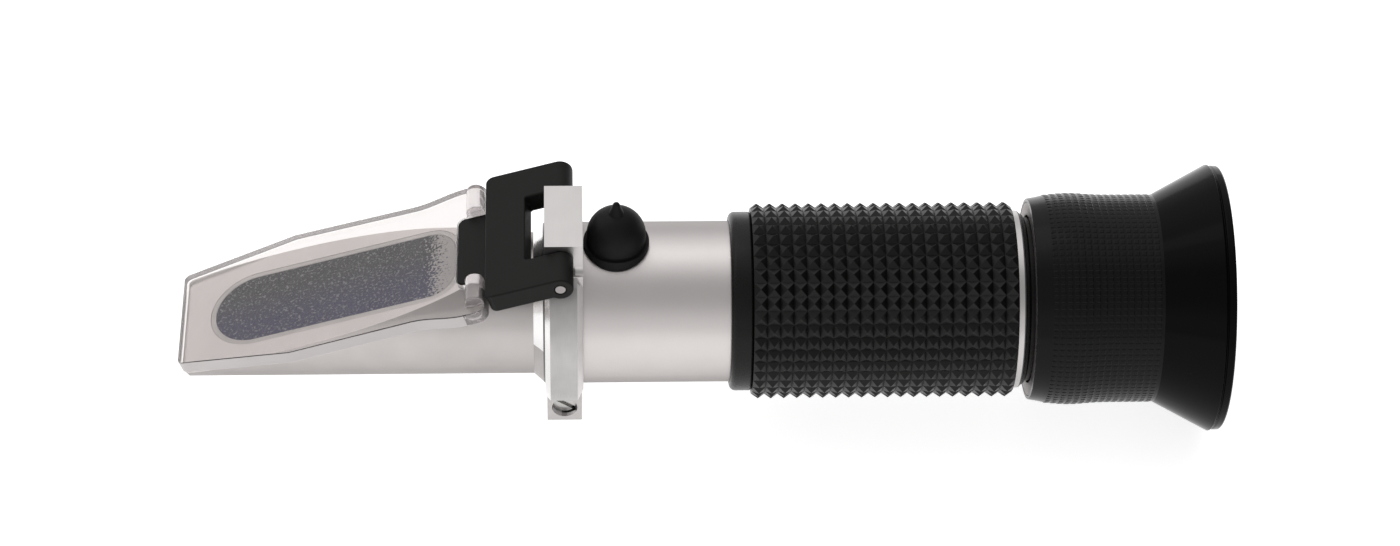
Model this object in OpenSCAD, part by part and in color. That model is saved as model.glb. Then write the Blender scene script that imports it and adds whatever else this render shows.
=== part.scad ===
// Handheld refractometer: a slanted glass prism under a hinged clear cover, a straight
// body tube with a studded rubber grip, and a focusing eyepiece with a flared eyecup.
// +X runs along the optical axis towards the eye and +Z points up through the hinge.
// The origin is the centre of the eyecup's rim.

/* [Prism box] */
// Diameter of the round box that holds the prism
box_d = 22.5; // [22:0.1:23.5]
// Length of the box from its tip to the start of the polished cone
box_len = 55.3; // [50:0.1:58]
// Length of the polished cone between the box and the clamp ring
cone_len = 1.8; // [1:0.1:3]
// Angle of the prism face to the optical axis, in degrees
face_angle = 18; // [17:0.25:19]
// Depth of the prism face below the axis at the tip of the box
tip_drop = 5.5; // [4.8:0.1:5.8]
// Length of the spigot that goes into the body tube
spigot_len = 7.2; // [5:0.2:7.4]
// Diameter of the light tunnel behind the prism
tunnel_d = 12; // [9:0.5:12.5]
// Length of the light tunnel in front of the polished cone
tunnel_len = 16; // [14:0.5:18]
// Chamfer round the tip of the box
tip_chamfer = 0.5; // [0.2:0.1:0.9]

/* [Prism] */
// Width of the prism's measuring face
window_w = 13.8; // [12:0.2:14]
// Width of the box's face left beside the measuring face at its hinge end
window_edge = 0.35; // [0.25:0.05:0.9]
// Distance of the measuring face from the tip of the box
window_margin = 5.2; // [4.4:0.1:5.8]
// Corner radius at the hinge end of the measuring face
window_corner = 4.5; // [4:0.1:5.5]
// Depth of the prism's flat floor below the axis
prism_floor = 7; // [6:0.1:7.4]
// Width of the sealing bead round the prism
seal_w = 0.9; // [0.6:0.05:1]
// Depth of the sealing bead
seal_depth = 1.2; // [0.8:0.1:2]

/* [Body tube] */
// Outer diameter of the body tube
tube_d = 25.7; // [25.4:0.1:26]
// Wall of the body tube
tube_wall = 1.6; // [1.3:0.1:1.8]
// Length of tube between its front edge and the grip's collar
bare_len = 29.25; // [27:0.5:36]

/* [Clamp ring and hinge block] */
// Outer diameter of the clamp ring
ring_d = 31.4; // [31:0.1:32.4]
// Length of the clamp ring along the tube
ring_len = 6; // [5.8:0.1:6.4]
// Front chamfer of the ring, radial size
ring_front_drop = 0.95; // [0.4:0.05:1.2]
// Front chamfer of the ring, axial size
ring_front_run = 0.8; // [0.4:0.05:1.2]
// Rear bevel of the ring, radial size
ring_rear_drop = 1.8; // [0.8:0.1:2]
// Rear bevel of the ring, axial size
ring_rear_run = 0.9; // [0.5:0.05:1.1]
// Width of the hinge block across the instrument
block_w = 13.8; // [12:0.2:15]
// Height of the block's flat top above the hinge pin
block_over_pin = 2.8; // [1.8:0.1:3.5]
// Thickness of the flange left behind the hinge arms
flange_t = 1.2; // [0.9:0.05:1.3]
// Radius of the fillets between block and ring
block_fillet = 1.2; // [0.6:0.1:1.6]

/* [Clamp lug] */
// Width of the split lug across the instrument
lug_w = 10.4; // [9:0.2:12]
// Length of the lug along the tube
lug_len = 5.6; // [5.2:0.1:5.6]
// Distance of the lug's lower face from the axis
lug_drop = 21.8; // [21.8:0.1:23]
// Width of the clamping slit
slit_w = 1.2; // [0.8:0.1:2]
// Distance of the clamp screw from the axis
clamp_screw_drop = 18.9; // [18.8:0.05:19]
// Diameter of the clamp screw's head
clamp_head_d = 3.6; // [3.4:0.1:3.9]
// Height of the clamp screw's head
clamp_head_h = 1.3; // [0.9:0.1:1.6]
// Diameter of the clamp screw's shank
clamp_shank_d = 2.4; // [2:0.1:2.6]
// Depth of the counterbore for the screw's head
counterbore = 2.3; // [1.7:0.1:2.6]
// Diameter of the counterbore
counterbore_d = 4.1; // [4:0.05:4.2]

/* [Hinge] */
// Diameter of the hinge pin
pin_d = 1.65; // [1.2:0.05:1.8]
// Distance of the hinge pin behind the front edge of the clamp ring
pin_back = 2.5; // [2.4:0.05:2.6]
// Height of the hinge pin above the plane of the prism face
pin_rise = 2.4; // [2.2:0.05:2.5]
// Thickness of the hinge bracket
bracket_t = 3.45; // [3.3:0.05:3.6]
// Gap between the bracket and the prism face
bracket_gap = 0.87; // [0.8:0.05:1]
// Width of the hinge bracket across the instrument
bracket_w = 27.2; // [25:0.2:28]
// Distance from the pin to the bracket's front edge
bracket_reach = 11.8; // [10.5:0.1:13]
// Distance from the pin to the end of the bracket's slot
slot_reach = 5.2; // [4.4:0.1:5.6]
// Length of the tongue in front of the bracket
tongue_len = 5.2; // [3:0.1:5.4]
// Width of the tongue
tongue_w = 14.8; // [12:0.2:16]
// Corner radius of the bracket
bracket_corner = 1.3; // [0.5:0.1:1.8]

/* [Daylight plate] */
// Thickness of the clear plate
plate_t = 2.4; // [2:0.1:2.6]
// Overhang of the plate past the tip of the box
plate_overhang = 0.4; // [0.2:0.1:1.5]
// Width of the plate at its tip
plate_tip_w = 20; // [17:0.5:22]
// Width of the plate at its shoulder
plate_shoulder_w = 26.6; // [24:0.2:28]
// Distance of the shoulder from the plate's tip
plate_shoulder_x = 19; // [14:0.5:24]
// Width of the plate at its waist
plate_waist_w = 26; // [24:0.2:27]
// Distance of the waist from the bracket
plate_waist_x = 12; // [10:0.5:14]
// Width of the plate across its ears
plate_ear_w = 28.8; // [27:0.2:30]
// Distance over which the plate is at its full ear width
plate_ear_x = 3.5; // [3.5:0.1:6]
// Corner radius at the plate's tip
plate_tip_corner = 1.2; // [0.5:0.1:2]
// Corner radius of the ears
plate_ear_corner = 1.6; // [0.8:0.1:2.2]
// Gap between the ears and the bracket
plate_ear_gap = 0.6; // [0.1:0.1:1]
// Width of the raised ridge on each ear
ridge_w = 3; // [2:0.1:4]
// Distance of the ridges' outer ends from the edges of the ears
ridge_inset = 1.6; // [0.2:0.1:3]
// Height of the ridges above the plate
ridge_h = 1.9; // [1:0.1:2.4]

/* [Calibration screw] */
// Distance of the calibration screw behind the front edge of the clamp ring
cal_back = 11.3; // [11.3:0.05:11.6]
// Diameter of the round boss under the cap
boss_d = 6.4; // [5.8:0.1:6.6]
// Height of the boss above the tube
boss_h = 3; // [2:0.1:3.2]
// Diameter of the boss's spigot in the tube wall
boss_spigot_d = 4.7; // [4.4:0.05:4.8]
// Length of the spigot that stands out inside the tube
boss_inset = 0.65; // [0.5:0.05:0.75]
// Diameter of the screw's head
cal_head_d = 4.3; // [3.8:0.1:4.4]
// Height of the screw's head
cal_head_h = 1; // [0.7:0.1:1.3]
// Depth of the head's seat below the top of the boss
cal_seat = 1.4; // [1.3:0.1:1.7]
// Diameter of the screw's shank
cal_shank_d = 3; // [2.6:0.1:3.2]
// Depth to which the screw reaches into the carrier
cal_reach = 3.1; // [2.6:0.1:3.2]
// Thickness of the clip that keeps the screw in its boss
clip_t = 0.45; // [0.3:0.05:0.5]
// Depth of the clip's groove in the screw
clip_groove = 0.3; // [0.2:0.05:0.4]
// Width by which the clip is narrower than the spigot above it
clip_inset = 0.2; // [0.1:0.05:0.4]
// Gap between the spigot and the clip
clip_gap = 0.1; // [0.05:0.05:0.15]
// Width of the screwdriver slots
slot_w = 0.7; // [0.4:0.05:0.9]

/* [Cap] */
// Outer diameter of the rubber cap
cap_d = 9.4; // [9:0.1:9.6]
// Wall of the rubber cap
cap_wall = 1; // [0.7:0.05:1.1]
// Diameter of the cap's flange
cap_flange_d = 10.4; // [10:0.1:11]
// Thickness of the cap's flange above the tube
cap_flange_h = 0.9; // [0.6:0.1:1.2]
// Height of the cap's straight side above the tube
cap_side_h = 2.2; // [1.8:0.1:2.8]
// Height of the pull nipple above the dome
nipple_h = 2.1; // [2:0.1:4]
// Diameter of the nipple where it meets the dome
nipple_d = 2.4; // [2:0.1:3.2]
// Radius of the nipple's round tip
nipple_tip_r = 0.6; // [0.4:0.05:0.9]

/* [Objective] */
// Diameter of the objective lens
objective_d = 9.1; // [8:0.1:9.2]
// Thickness of the objective's edge
objective_edge = 1.4; // [1:0.1:1.6]
// Bulge of the objective's round face
objective_bulge = 0.7; // [0.4:0.1:0.9]
// Length of the objective's retaining ring
objective_ring_len = 2; // [1.5:0.1:2.4]
// Thickness of the carrier along the axis
carrier_t = 5; // [4.9:0.05:5.2]
// Width of the carrier
carrier_w = 16; // [15:0.2:16.4]
// Distance of the carrier's top edge from the axis
carrier_top = 9; // [8.8:0.05:9.1]
// Distance of the carrier's lower edge from the axis
carrier_bottom = 7.4; // [7:0.1:7.6]
// Travel of the carrier each way
carrier_travel = 0.5; // [0.3:0.05:0.5]
// Gap left round the carrier at the end of its travel
carrier_play = 0.35; // [0.3:0.05:0.4]
// Thickness of the guide's front wall
guide_wall = 0.95; // [0.7:0.05:1]
// Thickness of the guide's rear cover
guide_cover_t = 1.15; // [0.8:0.05:1.4]
// Diameter of the guide's light openings
guide_bore_d = 13; // [11:0.5:14]
// Wall of the blackened baffle tube
baffle_wall = 0.8; // [0.5:0.05:1]

/* [Reticle] */
// Diameter of the glass scale
reticle_d = 17.2; // [16:0.1:17.4]
// Thickness of the glass scale
reticle_t = 1.5; // [1:0.1:1.8]
// Diameter of the opening in front of the glass scale
reticle_open_d = 15.2; // [13:0.2:15.6]
// Diameter of the reticle holder
reticle_holder_d = 20.2; // [19.4:0.1:20.6]
// Length of the reticle holder
reticle_holder_len = 4; // [3.6:0.1:5]
// Thickness of the holder's rear lip
reticle_lip = 1; // [0.7:0.1:1.2]

/* [Grip] */
// Number of rows of studs along the grip
stud_rows = 20; // [12:1:26]
// Number of studs round the grip
studs_round = 42; // [30:1:48]
// Length of the studded grip
grip_len = 41.6; // [36:0.4:50]
// Diameter at the foot of the studs
grip_d = 29.8; // [28.6:0.1:30.4]
// Height of the studs
stud_h = 0.7; // [0.3:0.05:1]
// Length of the smooth collar in front of the grip
collar_len = 3.55; // [2.4:0.1:5]
// Diameter of the smooth collar
collar_d = 28.6; // [28:0.1:29.6]
// Rounding of the collar's front edge
collar_round = 1; // [0.5:0.1:1.2]

/* [Focusing barrel] */
// Length of the light ring behind the grip
end_ring_len = 1.3; // [1.2:0.1:2]
// Diameter of the light ring
end_ring_d = 28.4; // [28.2:0.1:29.4]
// Rounding of the light ring's rear edge
end_ring_round = 0.4; // [0.2:0.1:0.7]
// Diameter of the focusing barrel
focus_d = 26.2; // [26:0.1:26.6]
// Diameter of the barrel's shoulder behind the light ring
shoulder_d = 27.6; // [27.2:0.1:28.4]
// Length of the barrel's shoulder
shoulder_len = 0.7; // [0.4:0.05:0.9]
// Bore of the focusing barrel
focus_bore_d = 18.4; // [17.4:0.2:18.8]
// Length of the barrel's spigot in the body tube
focus_spigot_len = 12.6; // [10:0.2:16]
// Travel of the eyepiece
focus_travel = 3; // [1:0.5:3.5]

/* [Eyepiece] */
// Length of the eyepiece's straight rubber sleeve
sleeve_len = 20; // [18:0.5:24]
// Length of the flared eyecup
flare_len = 8.9; // [7:0.1:12]
// Length of the rim behind the flare
rim_len = 1.7; // [1:0.1:2.5]
// Diameter of the sleeve
sleeve_d = 33.2; // [32.6:0.1:34]
// Swelling of the sleeve's diameter near its front end
sleeve_swell = 0.6; // [0:0.1:1.2]
// Distance of the swelling from the sleeve's front edge
swell_x = 6.6; // [5:0.2:9]
// Length over which the swelling runs out
swell_run = 3.2; // [2:0.2:5]
// Length over which the sleeve's nose is rounded
nose_run = 1.8; // [1:0.1:2.4]
// Drop of the sleeve's diameter at its front edge
sleeve_nose = 1; // [0.4:0.1:1.2]
// Largest diameter of the eyecup
cup_d = 42.8; // [39:0.2:48]
// Step from the flare's edge in to the rim
rim_step = 0.2; // [0.1:0.05:0.5]
// Depth of the groove between flare and rim
rim_groove = 0.45; // [0.2:0.05:0.7]
// Length of each side of that groove
groove_run = 0.3; // [0.2:0.05:0.4]
// Rounding of the rim's edge
rim_round = 0.25; // [0.1:0.05:0.4]
// Wall of the rubber eyecup
cup_wall = 1.6; // [1.2:0.1:2]
// Thickness of the eyecup's floor round the eye lens
cup_floor_t = 1.6; // [1:0.1:2]
// Width of the eyecup's lip over the lens cell
cup_lip = 0.6; // [0.4:0.05:0.8]
// Gap between the light ring and the eyepiece at rest
eyepiece_gap = 1.4; // [1:0.1:3]
// Outer diameter of the metal eyepiece barrel
barrel_d = 31; // [30:0.1:31.4]
// Length of the eyepiece barrel's wider mouth
mouth_len = 2.1; // [1:0.1:3]
// Diameter of the eyepiece barrel's mouth
mouth_d = 26.9; // [26.8:0.1:27.4]
// Length of the running bore that still holds the barrel at full travel
run_hold = 8.5; // [7:0.5:8.5]
// Distance of the eyepiece barrel's end behind the sleeve
barrel_over = 0.4; // [0.3:0.05:0.8]

/* [Eyepiece lenses] */
// Outer diameter of the lens cell
cell_d = 21.9; // [21:0.1:22.4]
// Length of the lens cell
cell_len = 6; // [5.8:0.1:6.1]
// Depth of the lens cell below the eyepiece barrel's end
cell_recess = 0.1; // [0.05:0.05:0.3]
// Wall of the lens cell
cell_wall = 1.2; // [0.9:0.1:1.4]
// Width of the ledges that hold the lenses
lens_ledge = 0.8; // [0.5:0.05:1]
// Thickness of the cell's front lip
cell_lip = 0.5; // [0.4:0.05:0.6]
// Thickness of each lens at its edge
lens_edge = 0.8; // [0.6:0.05:0.9]
// Bulge of each lens
lens_bulge = 0.9; // [0.5:0.05:1]
// Length of the spacer between the lenses
spacer_len = 2.4; // [2.3:0.05:2.5]

/* [Clearances] */
// Gap between pieces that are fixed together
fixed_fit = 0.03; // [0.01:0.01:0.05]
// Radial gap of a shaft in its running bore
run_fit = 0.05; // [0.03:0.01:0.08]
// Gap between the closed cover and the prism face
film_gap = 0.1; // [0.05:0.05:0.2]
// Gap between moving pieces that only pass each other
pass_gap = 0.3; // [0.25:0.05:0.35]
// Gap between the rubber cap and the tube
cap_gap = 0.15; // [0.1:0.05:0.25]

/* [Hidden] */
$fn = 96;
far = 200;
eps = 0.01;

// Stations along the axis, counted back from the eyecup's rim
eyepiece_x = -(rim_len + flare_len + sleeve_len);
flare_x = eyepiece_x + sleeve_len;
barrel_end = flare_x + barrel_over;
cup_floor_x = barrel_end + cup_floor_t;
shoulder_x = eyepiece_x - eyepiece_gap;
end_ring_x = shoulder_x - end_ring_len;
grip_x = end_ring_x - grip_len;
collar_x = grip_x - collar_len;
tube_x = collar_x - bare_len;
ring_x = tube_x;
flange_x = ring_x + ring_len - flange_t;
cone_x = tube_x - cone_len;
tip_x = cone_x - box_len;
pin_x = ring_x + pin_back;
cal_x = ring_x + cal_back;
lug_x = ring_x + (ring_len - lug_len) / 2;
clamp_screw_x = ring_x + ring_len / 2;

// Radii
tube_r = tube_d / 2;
bore_r = tube_r - tube_wall;
box_r = box_d / 2;
ring_r = ring_d / 2;
pin_r = pin_d / 2;
inner_r = bore_r - fixed_fit;

// Heights and distances tied to the prism face
pin_z = (pin_x - tip_x) * tan(face_angle) - tip_drop + pin_rise;
block_z = pin_z + block_over_pin;
face_n = -pin_rise * cos(face_angle);
bracket_n = face_n + bracket_gap;
eye_r = bracket_n + bracket_t;
tip_s = (tip_x - pin_x) * cos(face_angle) - (tip_drop + pin_z) * sin(face_angle);
window_s = tip_s + window_margin;
window_end_z = sqrt(pow(box_r, 2) - pow(window_w / 2 + window_edge, 2));
window_end_s = tip_s + (window_end_z + tip_drop) / sin(face_angle);
plate_s = tip_s - plate_overhang;
plate_end_s = -bracket_reach - plate_ear_gap;
plate_n = face_n + film_gap;
plate_top_n = plate_n + plate_t;

// Objective carrier and its guide
carrier_x = cal_x - carrier_t / 2;
guide_x = carrier_x - run_fit - guide_wall;
guide_cover_x = carrier_x + carrier_t + run_fit;
baffle_x = guide_cover_x + guide_cover_t;
focus_x = shoulder_x - focus_spigot_len;
boss_z = tube_r + boss_h;
cal_seat_z = boss_z - cal_seat;
boss_foot_z = bore_r - boss_inset;
clip_z = boss_foot_z - clip_gap - clip_t;
clip_seat_d = cal_shank_d - 2 * clip_groove;
screw_end_z = carrier_top - cal_reach;
carrier_r = bore_r - carrier_travel - carrier_play;

// Running bore of the eyepiece
run_x = eyepiece_x + mouth_len;
run_end_x = run_x + focus_travel + run_hold;

// Solid of revolution round the optical axis from [station, radius] points
module turned(profile) {
    rotate([0, 90, 0]) rotate_extrude() polygon([for (p = profile) [p[1], p[0]]]);
}

// Plain ring round the optical axis
module axis_ring(x0, x1, outer, inner) {
    turned([[x0, inner], [x1, inner], [x1, outer], [x0, outer]]);
}

// Rod along the optical axis
module axis_rod(x0, x1, r) {
    translate([x0, 0, 0]) rotate([0, 90, 0]) cylinder(r = r, h = x1 - x0);
}

// Rod across the instrument
module cross_rod(x, z, y0, y1, r) {
    translate([x, y1, z]) rotate([90, 0, 0]) cylinder(r = r, h = y1 - y0);
}

// Box given by its two corners
module span(low, high) {
    translate(low) cube(high - low);
}

// Frame at the hinge pin: local X climbs along the prism face, local Z is its normal
module on_face() {
    translate([pin_x, 0, pin_z]) rotate([0, -face_angle, 0]) children();
}

// Points of an arc
function arc(c, r, a0, a1, n = 8) =
    [for (i = [0 : n]) c + r * [cos(a0 + (a1 - a0) * i / n), sin(a0 + (a1 - a0) * i / n)]];

// Outline of the measuring face: a half circle at the tip and round corners at the hinge
module window_outline(grow) {
    r = window_w / 2 + grow;
    c = window_corner + grow;
    right = window_end_s + grow;
    left = window_s - grow + r;
    polygon(concat(
        arc([left, 0], r, 90, 270, 24),
        arc([right - c, c - r], c, 270, 360),
        arc([right - c, r - c], c, 0, 90)
    ));
}

// The prism's own form, grown by a clearance
module prism_form(grow) {
    intersection() {
        on_face() translate([0, 0, face_n - far]) linear_extrude(far) window_outline(grow);
        span([-far, -far, -prism_floor - grow], [far, far, far]);
    }
}

// Half space above the prism face
module above_face() {
    on_face() span([-far, -far, face_n], [far, far, far]);
}

module prism_box() {
    color("silver") difference() {
        turned([
            [tip_x, 0], [tip_x, box_r - tip_chamfer], [tip_x + tip_chamfer, box_r],
            [cone_x, box_r], [tube_x - eps, tube_r], [tube_x, tube_r], [tube_x, inner_r],
            [tube_x + spigot_len, inner_r], [tube_x + spigot_len, 0]
        ]);
        intersection() {
            above_face();
            span([-far, -far, -far], [cone_x, far, far]);
        }
        prism_form(fixed_fit);
        on_face() translate([0, 0, face_n - seal_depth - fixed_fit])
            linear_extrude(far) window_outline(seal_w + fixed_fit);
        axis_rod(cone_x - tunnel_len, far, tunnel_d / 2);
    }
}

module main_prism() {
    color("slategray") prism_form(0);
}

module prism_seal() {
    color("gainsboro") intersection() {
        on_face() translate([0, 0, face_n - seal_depth]) linear_extrude(seal_depth)
            difference() {
                window_outline(seal_w);
                window_outline(fixed_fit);
            }
        axis_rod(tip_x, cone_x, box_r - fixed_fit);
    }
}

module main_tube() {
    color("silver") difference() {
        axis_ring(tube_x, end_ring_x, tube_r, bore_r);
        translate([cal_x, 0, 0]) cylinder(d = boss_spigot_d + 2 * fixed_fit, h = far);
    }
}

// Profile of the clamp ring, cut back at both edges
module ring_body() {
    rear = ring_x + ring_len;
    turned([
        [ring_x, tube_r + fixed_fit], [ring_x, ring_r - ring_front_drop],
        [ring_x + ring_front_run, ring_r], [rear - ring_rear_run, ring_r],
        [rear, ring_r - ring_rear_drop], [rear, tube_r + fixed_fit]
    ]);
}

// Hinge block seen along the axis, with a fillet each side where it meets the ring
module block_outline() {
    foot = sqrt(pow(ring_r + block_fillet, 2) - pow(block_w / 2 + block_fillet, 2));
    difference() {
        translate([-block_w / 2 - block_fillet, 0])
            square([block_w + 2 * block_fillet, block_z]);
        circle(r = tube_r + fixed_fit);
        for (side = [-1, 1]) {
            translate([side * (block_w / 2 + block_fillet), foot]) circle(r = block_fillet);
            translate([side * (block_w / 2 + block_fillet) - block_fillet, foot])
                square([2 * block_fillet, far]);
        }
    }
}

module clamp_ring() {
    rear = ring_x + ring_len;
    seat_z = pin_z - eye_r - 2 * pass_gap;
    color("gainsboro") difference() {
        union() {
            ring_body();
            translate([ring_x, 0, 0]) rotate([90, 0, 90]) linear_extrude(ring_len)
                block_outline();
            difference() {
                span([lug_x, -lug_w / 2, -lug_drop], [lug_x + lug_len, lug_w / 2, 0]);
                axis_rod(-far, far, tube_r + fixed_fit);
            }
        }
        for (side = [0, 1]) mirror([0, side, 0])
            span([ring_x - 1, block_w / 2, seat_z], [flange_x, far, far]);
        span([ring_x - 1, -slit_w / 2, -far], [rear + 1, slit_w / 2, 0]);
        cross_rod(pin_x, pin_z, -far, far, pin_r + fixed_fit);
        cross_rod(clamp_screw_x, -clamp_screw_drop, -lug_w, lug_w,
                  clamp_shank_d / 2 + fixed_fit);
        cross_rod(clamp_screw_x, -clamp_screw_drop, -lug_w, counterbore - lug_w / 2,
                  counterbore_d / 2);
    }
}

module clamp_screw() {
    head_y = counterbore - lug_w / 2;
    color("lightgray") difference() {
        union() {
            cross_rod(clamp_screw_x, -clamp_screw_drop, head_y - clamp_head_h, head_y,
                      clamp_head_d / 2);
            cross_rod(clamp_screw_x, -clamp_screw_drop, head_y, lug_w / 2, clamp_shank_d / 2);
        }
        translate([clamp_screw_x, head_y - clamp_head_h, -clamp_screw_drop])
            rotate([0, 35, 0])
                cube([far, clamp_head_h, slot_w], center = true);
    }
}

module hinge_pin() {
    color("white") cross_rod(pin_x, pin_z, -bracket_w / 2, bracket_w / 2, pin_r);
}

// Rounded rectangle from its corners
module rounded(low, high, r) {
    polygon(concat(
        arc([low[0] + r, low[1] + r], r, 180, 270),
        arc([high[0] - r, low[1] + r], r, 270, 360),
        arc([high[0] - r, high[1] - r], r, 0, 90),
        arc([low[0] + r, high[1] - r], r, 90, 180)
    ));
}

module hinge_bracket() {
    slot_half = block_w / 2 + pass_gap / 2;
    color("dimgray") on_face() difference() {
        union() {
            intersection() {
                translate([0, 0, bracket_n]) linear_extrude(bracket_t)
                    rounded([-bracket_reach, -bracket_w / 2], [eye_r + bracket_corner, bracket_w / 2],
                            bracket_corner);
                union() {
                    span([-bracket_reach, -far, -far], [0, far, far]);
                    cross_rod(0, 0, -far, far, eye_r);
                }
            }
            cross_rod(0, 0, -bracket_w / 2, bracket_w / 2, eye_r);
            translate([0, 0, bracket_n]) linear_extrude(plate_top_n - bracket_n)
                rounded([-bracket_reach - tongue_len, -tongue_w / 2],
                        [-bracket_reach + 2 * bracket_corner, tongue_w / 2], bracket_corner);
        }
        span([-slot_reach, -slot_half, -far], [far, slot_half, far]);
        cross_rod(0, 0, -far, far, pin_r + run_fit);
    }
}

// Half width of the clear plate at a distance behind its tip
function ease(t) = t * t * (3 - 2 * t);
plate_len = plate_end_s - plate_s;
waist_at = plate_len - plate_waist_x;
ears_at = plate_len - plate_ear_x;
flank_steps = 8;

// One flank of the plate, from its shoulder to its ears
function flank() = concat(
    [[plate_shoulder_x, plate_shoulder_w / 2]],
    [for (i = [0 : flank_steps])
        [waist_at + (ears_at - waist_at) * i / flank_steps,
         (plate_waist_w + (plate_ear_w - plate_waist_w) * ease(i / flank_steps)) / 2]],
    arc([plate_len - plate_ear_corner, plate_ear_w / 2 - plate_ear_corner],
        plate_ear_corner, 90, 0)
);

module plate_outline() {
    c = plate_tip_corner;
    upper = concat(arc([c, plate_tip_w / 2 - c], c, 180, 100), flank());
    lower = [for (i = [len(upper) - 1 : -1 : 0]) [upper[i][0], -upper[i][1]]];
    translate([plate_s, 0]) polygon(concat(upper, lower));
}

// Raised half-round ridge across one ear of the plate
module ear_ridge() {
    r = ridge_w / 2;
    inner = tongue_w / 2 + fixed_fit;
    outer = plate_ear_w / 2 - ridge_inset;
    mid = plate_end_s - r;
    top = plate_top_n + ridge_h - r;
    cross_rod(mid, top, inner, outer, r);
    span([mid - r, inner, plate_n], [mid + r, outer, top]);
}

module daylight_plate() {
    color("whitesmoke", 0.4) on_face() difference() {
        union() {
            translate([0, 0, plate_n]) linear_extrude(plate_t) plate_outline();
            for (side = [0, 1]) mirror([0, side, 0]) ear_ridge();
        }
        translate([0, 0, plate_n - eps]) linear_extrude(far)
            rounded([-bracket_reach - tongue_len - fixed_fit, -tongue_w / 2 - fixed_fit],
                    [0, tongue_w / 2 + fixed_fit], bracket_corner);
    }
}

module calibration_cap() {
    side_z = tube_r + cap_side_h;
    dome_r = cap_d / 2;
    nipple_z = side_z + dome_r + nipple_h - nipple_tip_r;
    foot_z = side_z + sqrt(pow(dome_r, 2) - pow(nipple_d / 2, 2)) - eps;
    inside_r = dome_r - cap_wall;
    color([0.08, 0.08, 0.08]) translate([cal_x, 0, 0]) difference() {
        union() {
            cylinder(r = dome_r, h = side_z);
            intersection() {
                translate([0, 0, side_z]) sphere(r = dome_r);
                cylinder(r = far, h = far);
            }
            translate([0, 0, foot_z])
                cylinder(r1 = nipple_d / 2, r2 = nipple_tip_r, h = nipple_z - foot_z);
            translate([0, 0, nipple_z]) sphere(r = nipple_tip_r);
            cylinder(d = cap_flange_d, h = tube_r + cap_flange_h);
        }
        rotate([0, 90, 0]) cylinder(r = tube_r + cap_gap, h = far, center = true);
        cylinder(r = inside_r, h = boss_z + pass_gap);
    }
}

module calibration_boss() {
    color("goldenrod") translate([cal_x, 0, 0]) difference() {
        union() {
            difference() {
                cylinder(d = boss_d, h = boss_z);
                rotate([0, 90, 0]) cylinder(r = tube_r + fixed_fit, h = far, center = true);
            }
            translate([0, 0, boss_foot_z])
                cylinder(d = boss_spigot_d, h = cal_seat_z - boss_foot_z);
        }
        cylinder(r = cal_shank_d / 2 + run_fit, h = far);
        translate([0, 0, cal_seat_z]) cylinder(r = cal_head_d / 2 + run_fit, h = far);
    }
}

module calibration_screw() {
    color("khaki") translate([cal_x, 0, 0]) difference() {
        union() {
            translate([0, 0, cal_seat_z + eps]) cylinder(d = cal_head_d, h = cal_head_h);
            translate([0, 0, screw_end_z])
                cylinder(d = cal_shank_d, h = cal_seat_z + cal_head_h / 2 - screw_end_z);
        }
        translate([0, 0, cal_seat_z + cal_head_h])
            cube([far, slot_w, cal_head_h], center = true);
        translate([0, 0, clip_z - fixed_fit]) difference() {
            cylinder(d = boss_spigot_d, h = clip_t + 2 * fixed_fit);
            cylinder(d = clip_seat_d, h = far, center = true);
        }
    }
}

module screw_clip() {
    color("gray") translate([cal_x, 0, clip_z]) difference() {
        cylinder(d = boss_spigot_d - 2 * clip_inset, h = clip_t);
        cylinder(d = clip_seat_d + 2 * fixed_fit, h = far, center = true);
        span([0, -clip_seat_d / 2, -far], [far, clip_seat_d / 2, far]);
    }
}

module objective_carrier() {
    color("darkslategray") difference() {
        intersection() {
            span([carrier_x, -carrier_w / 2, -carrier_bottom],
                 [carrier_x + carrier_t, carrier_w / 2, carrier_top]);
            axis_rod(-far, far, carrier_r);
        }
        axis_rod(-far, far, objective_d / 2 - lens_ledge);
        axis_rod(carrier_x + cell_lip, far, objective_d / 2 + fixed_fit);
        translate([cal_x, 0, screw_end_z - carrier_travel - run_fit])
            cylinder(r = cal_shank_d / 2 + run_fit, h = far);
    }
}

// Lens with one flat side and one round side that bulges towards +X or -X inside a flat rim
module lens(x_flat, r, edge, bulge, way) {
    steps = 12;
    field_r = r - lens_ledge;
    ball = (field_r * field_r + bulge * bulge) / (2 * bulge);
    turned(concat(
        [[x_flat, 0], [x_flat, r], [x_flat + way * edge, r]],
        [for (i = [0 : steps]) let (q = field_r * (1 - i / steps))
            [x_flat + way * (edge + bulge - ball + sqrt(ball * ball - q * q)), q]]
    ));
}

module objective_lens() {
    color("lightblue", 0.5)
        lens(carrier_x + cell_lip, objective_d / 2, objective_edge, objective_bulge, 1);
}

module objective_ring() {
    x0 = carrier_x + cell_lip + objective_edge;
    color("dimgray") axis_ring(x0, x0 + objective_ring_len, objective_d / 2,
                               objective_d / 2 - lens_ledge);
}

module carrier_guide() {
    color("dimgray") difference() {
        axis_rod(guide_x, guide_cover_x, inner_r);
        span([carrier_x - run_fit, -carrier_w / 2 - run_fit,
              -carrier_bottom - carrier_travel - pass_gap],
             [far, carrier_w / 2 + run_fit, far]);
        axis_rod(-far, far, guide_bore_d / 2);
    }
}

module guide_cover() {
    color("dimgray") axis_ring(guide_cover_x, baffle_x, inner_r, guide_bore_d / 2);
}

module baffle_tube() {
    color([0.1, 0.1, 0.1]) axis_ring(baffle_x, focus_x, inner_r, inner_r - baffle_wall);
}

module reticle_holder() {
    rear = focus_x + reticle_holder_len;
    color("dimgray") turned([
        [focus_x, reticle_d / 2 + fixed_fit], [rear - reticle_lip, reticle_d / 2 + fixed_fit],
        [rear - reticle_lip, reticle_open_d / 2], [rear, reticle_open_d / 2],
        [rear, reticle_holder_d / 2], [focus_x, reticle_holder_d / 2]
    ]);
}

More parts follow.
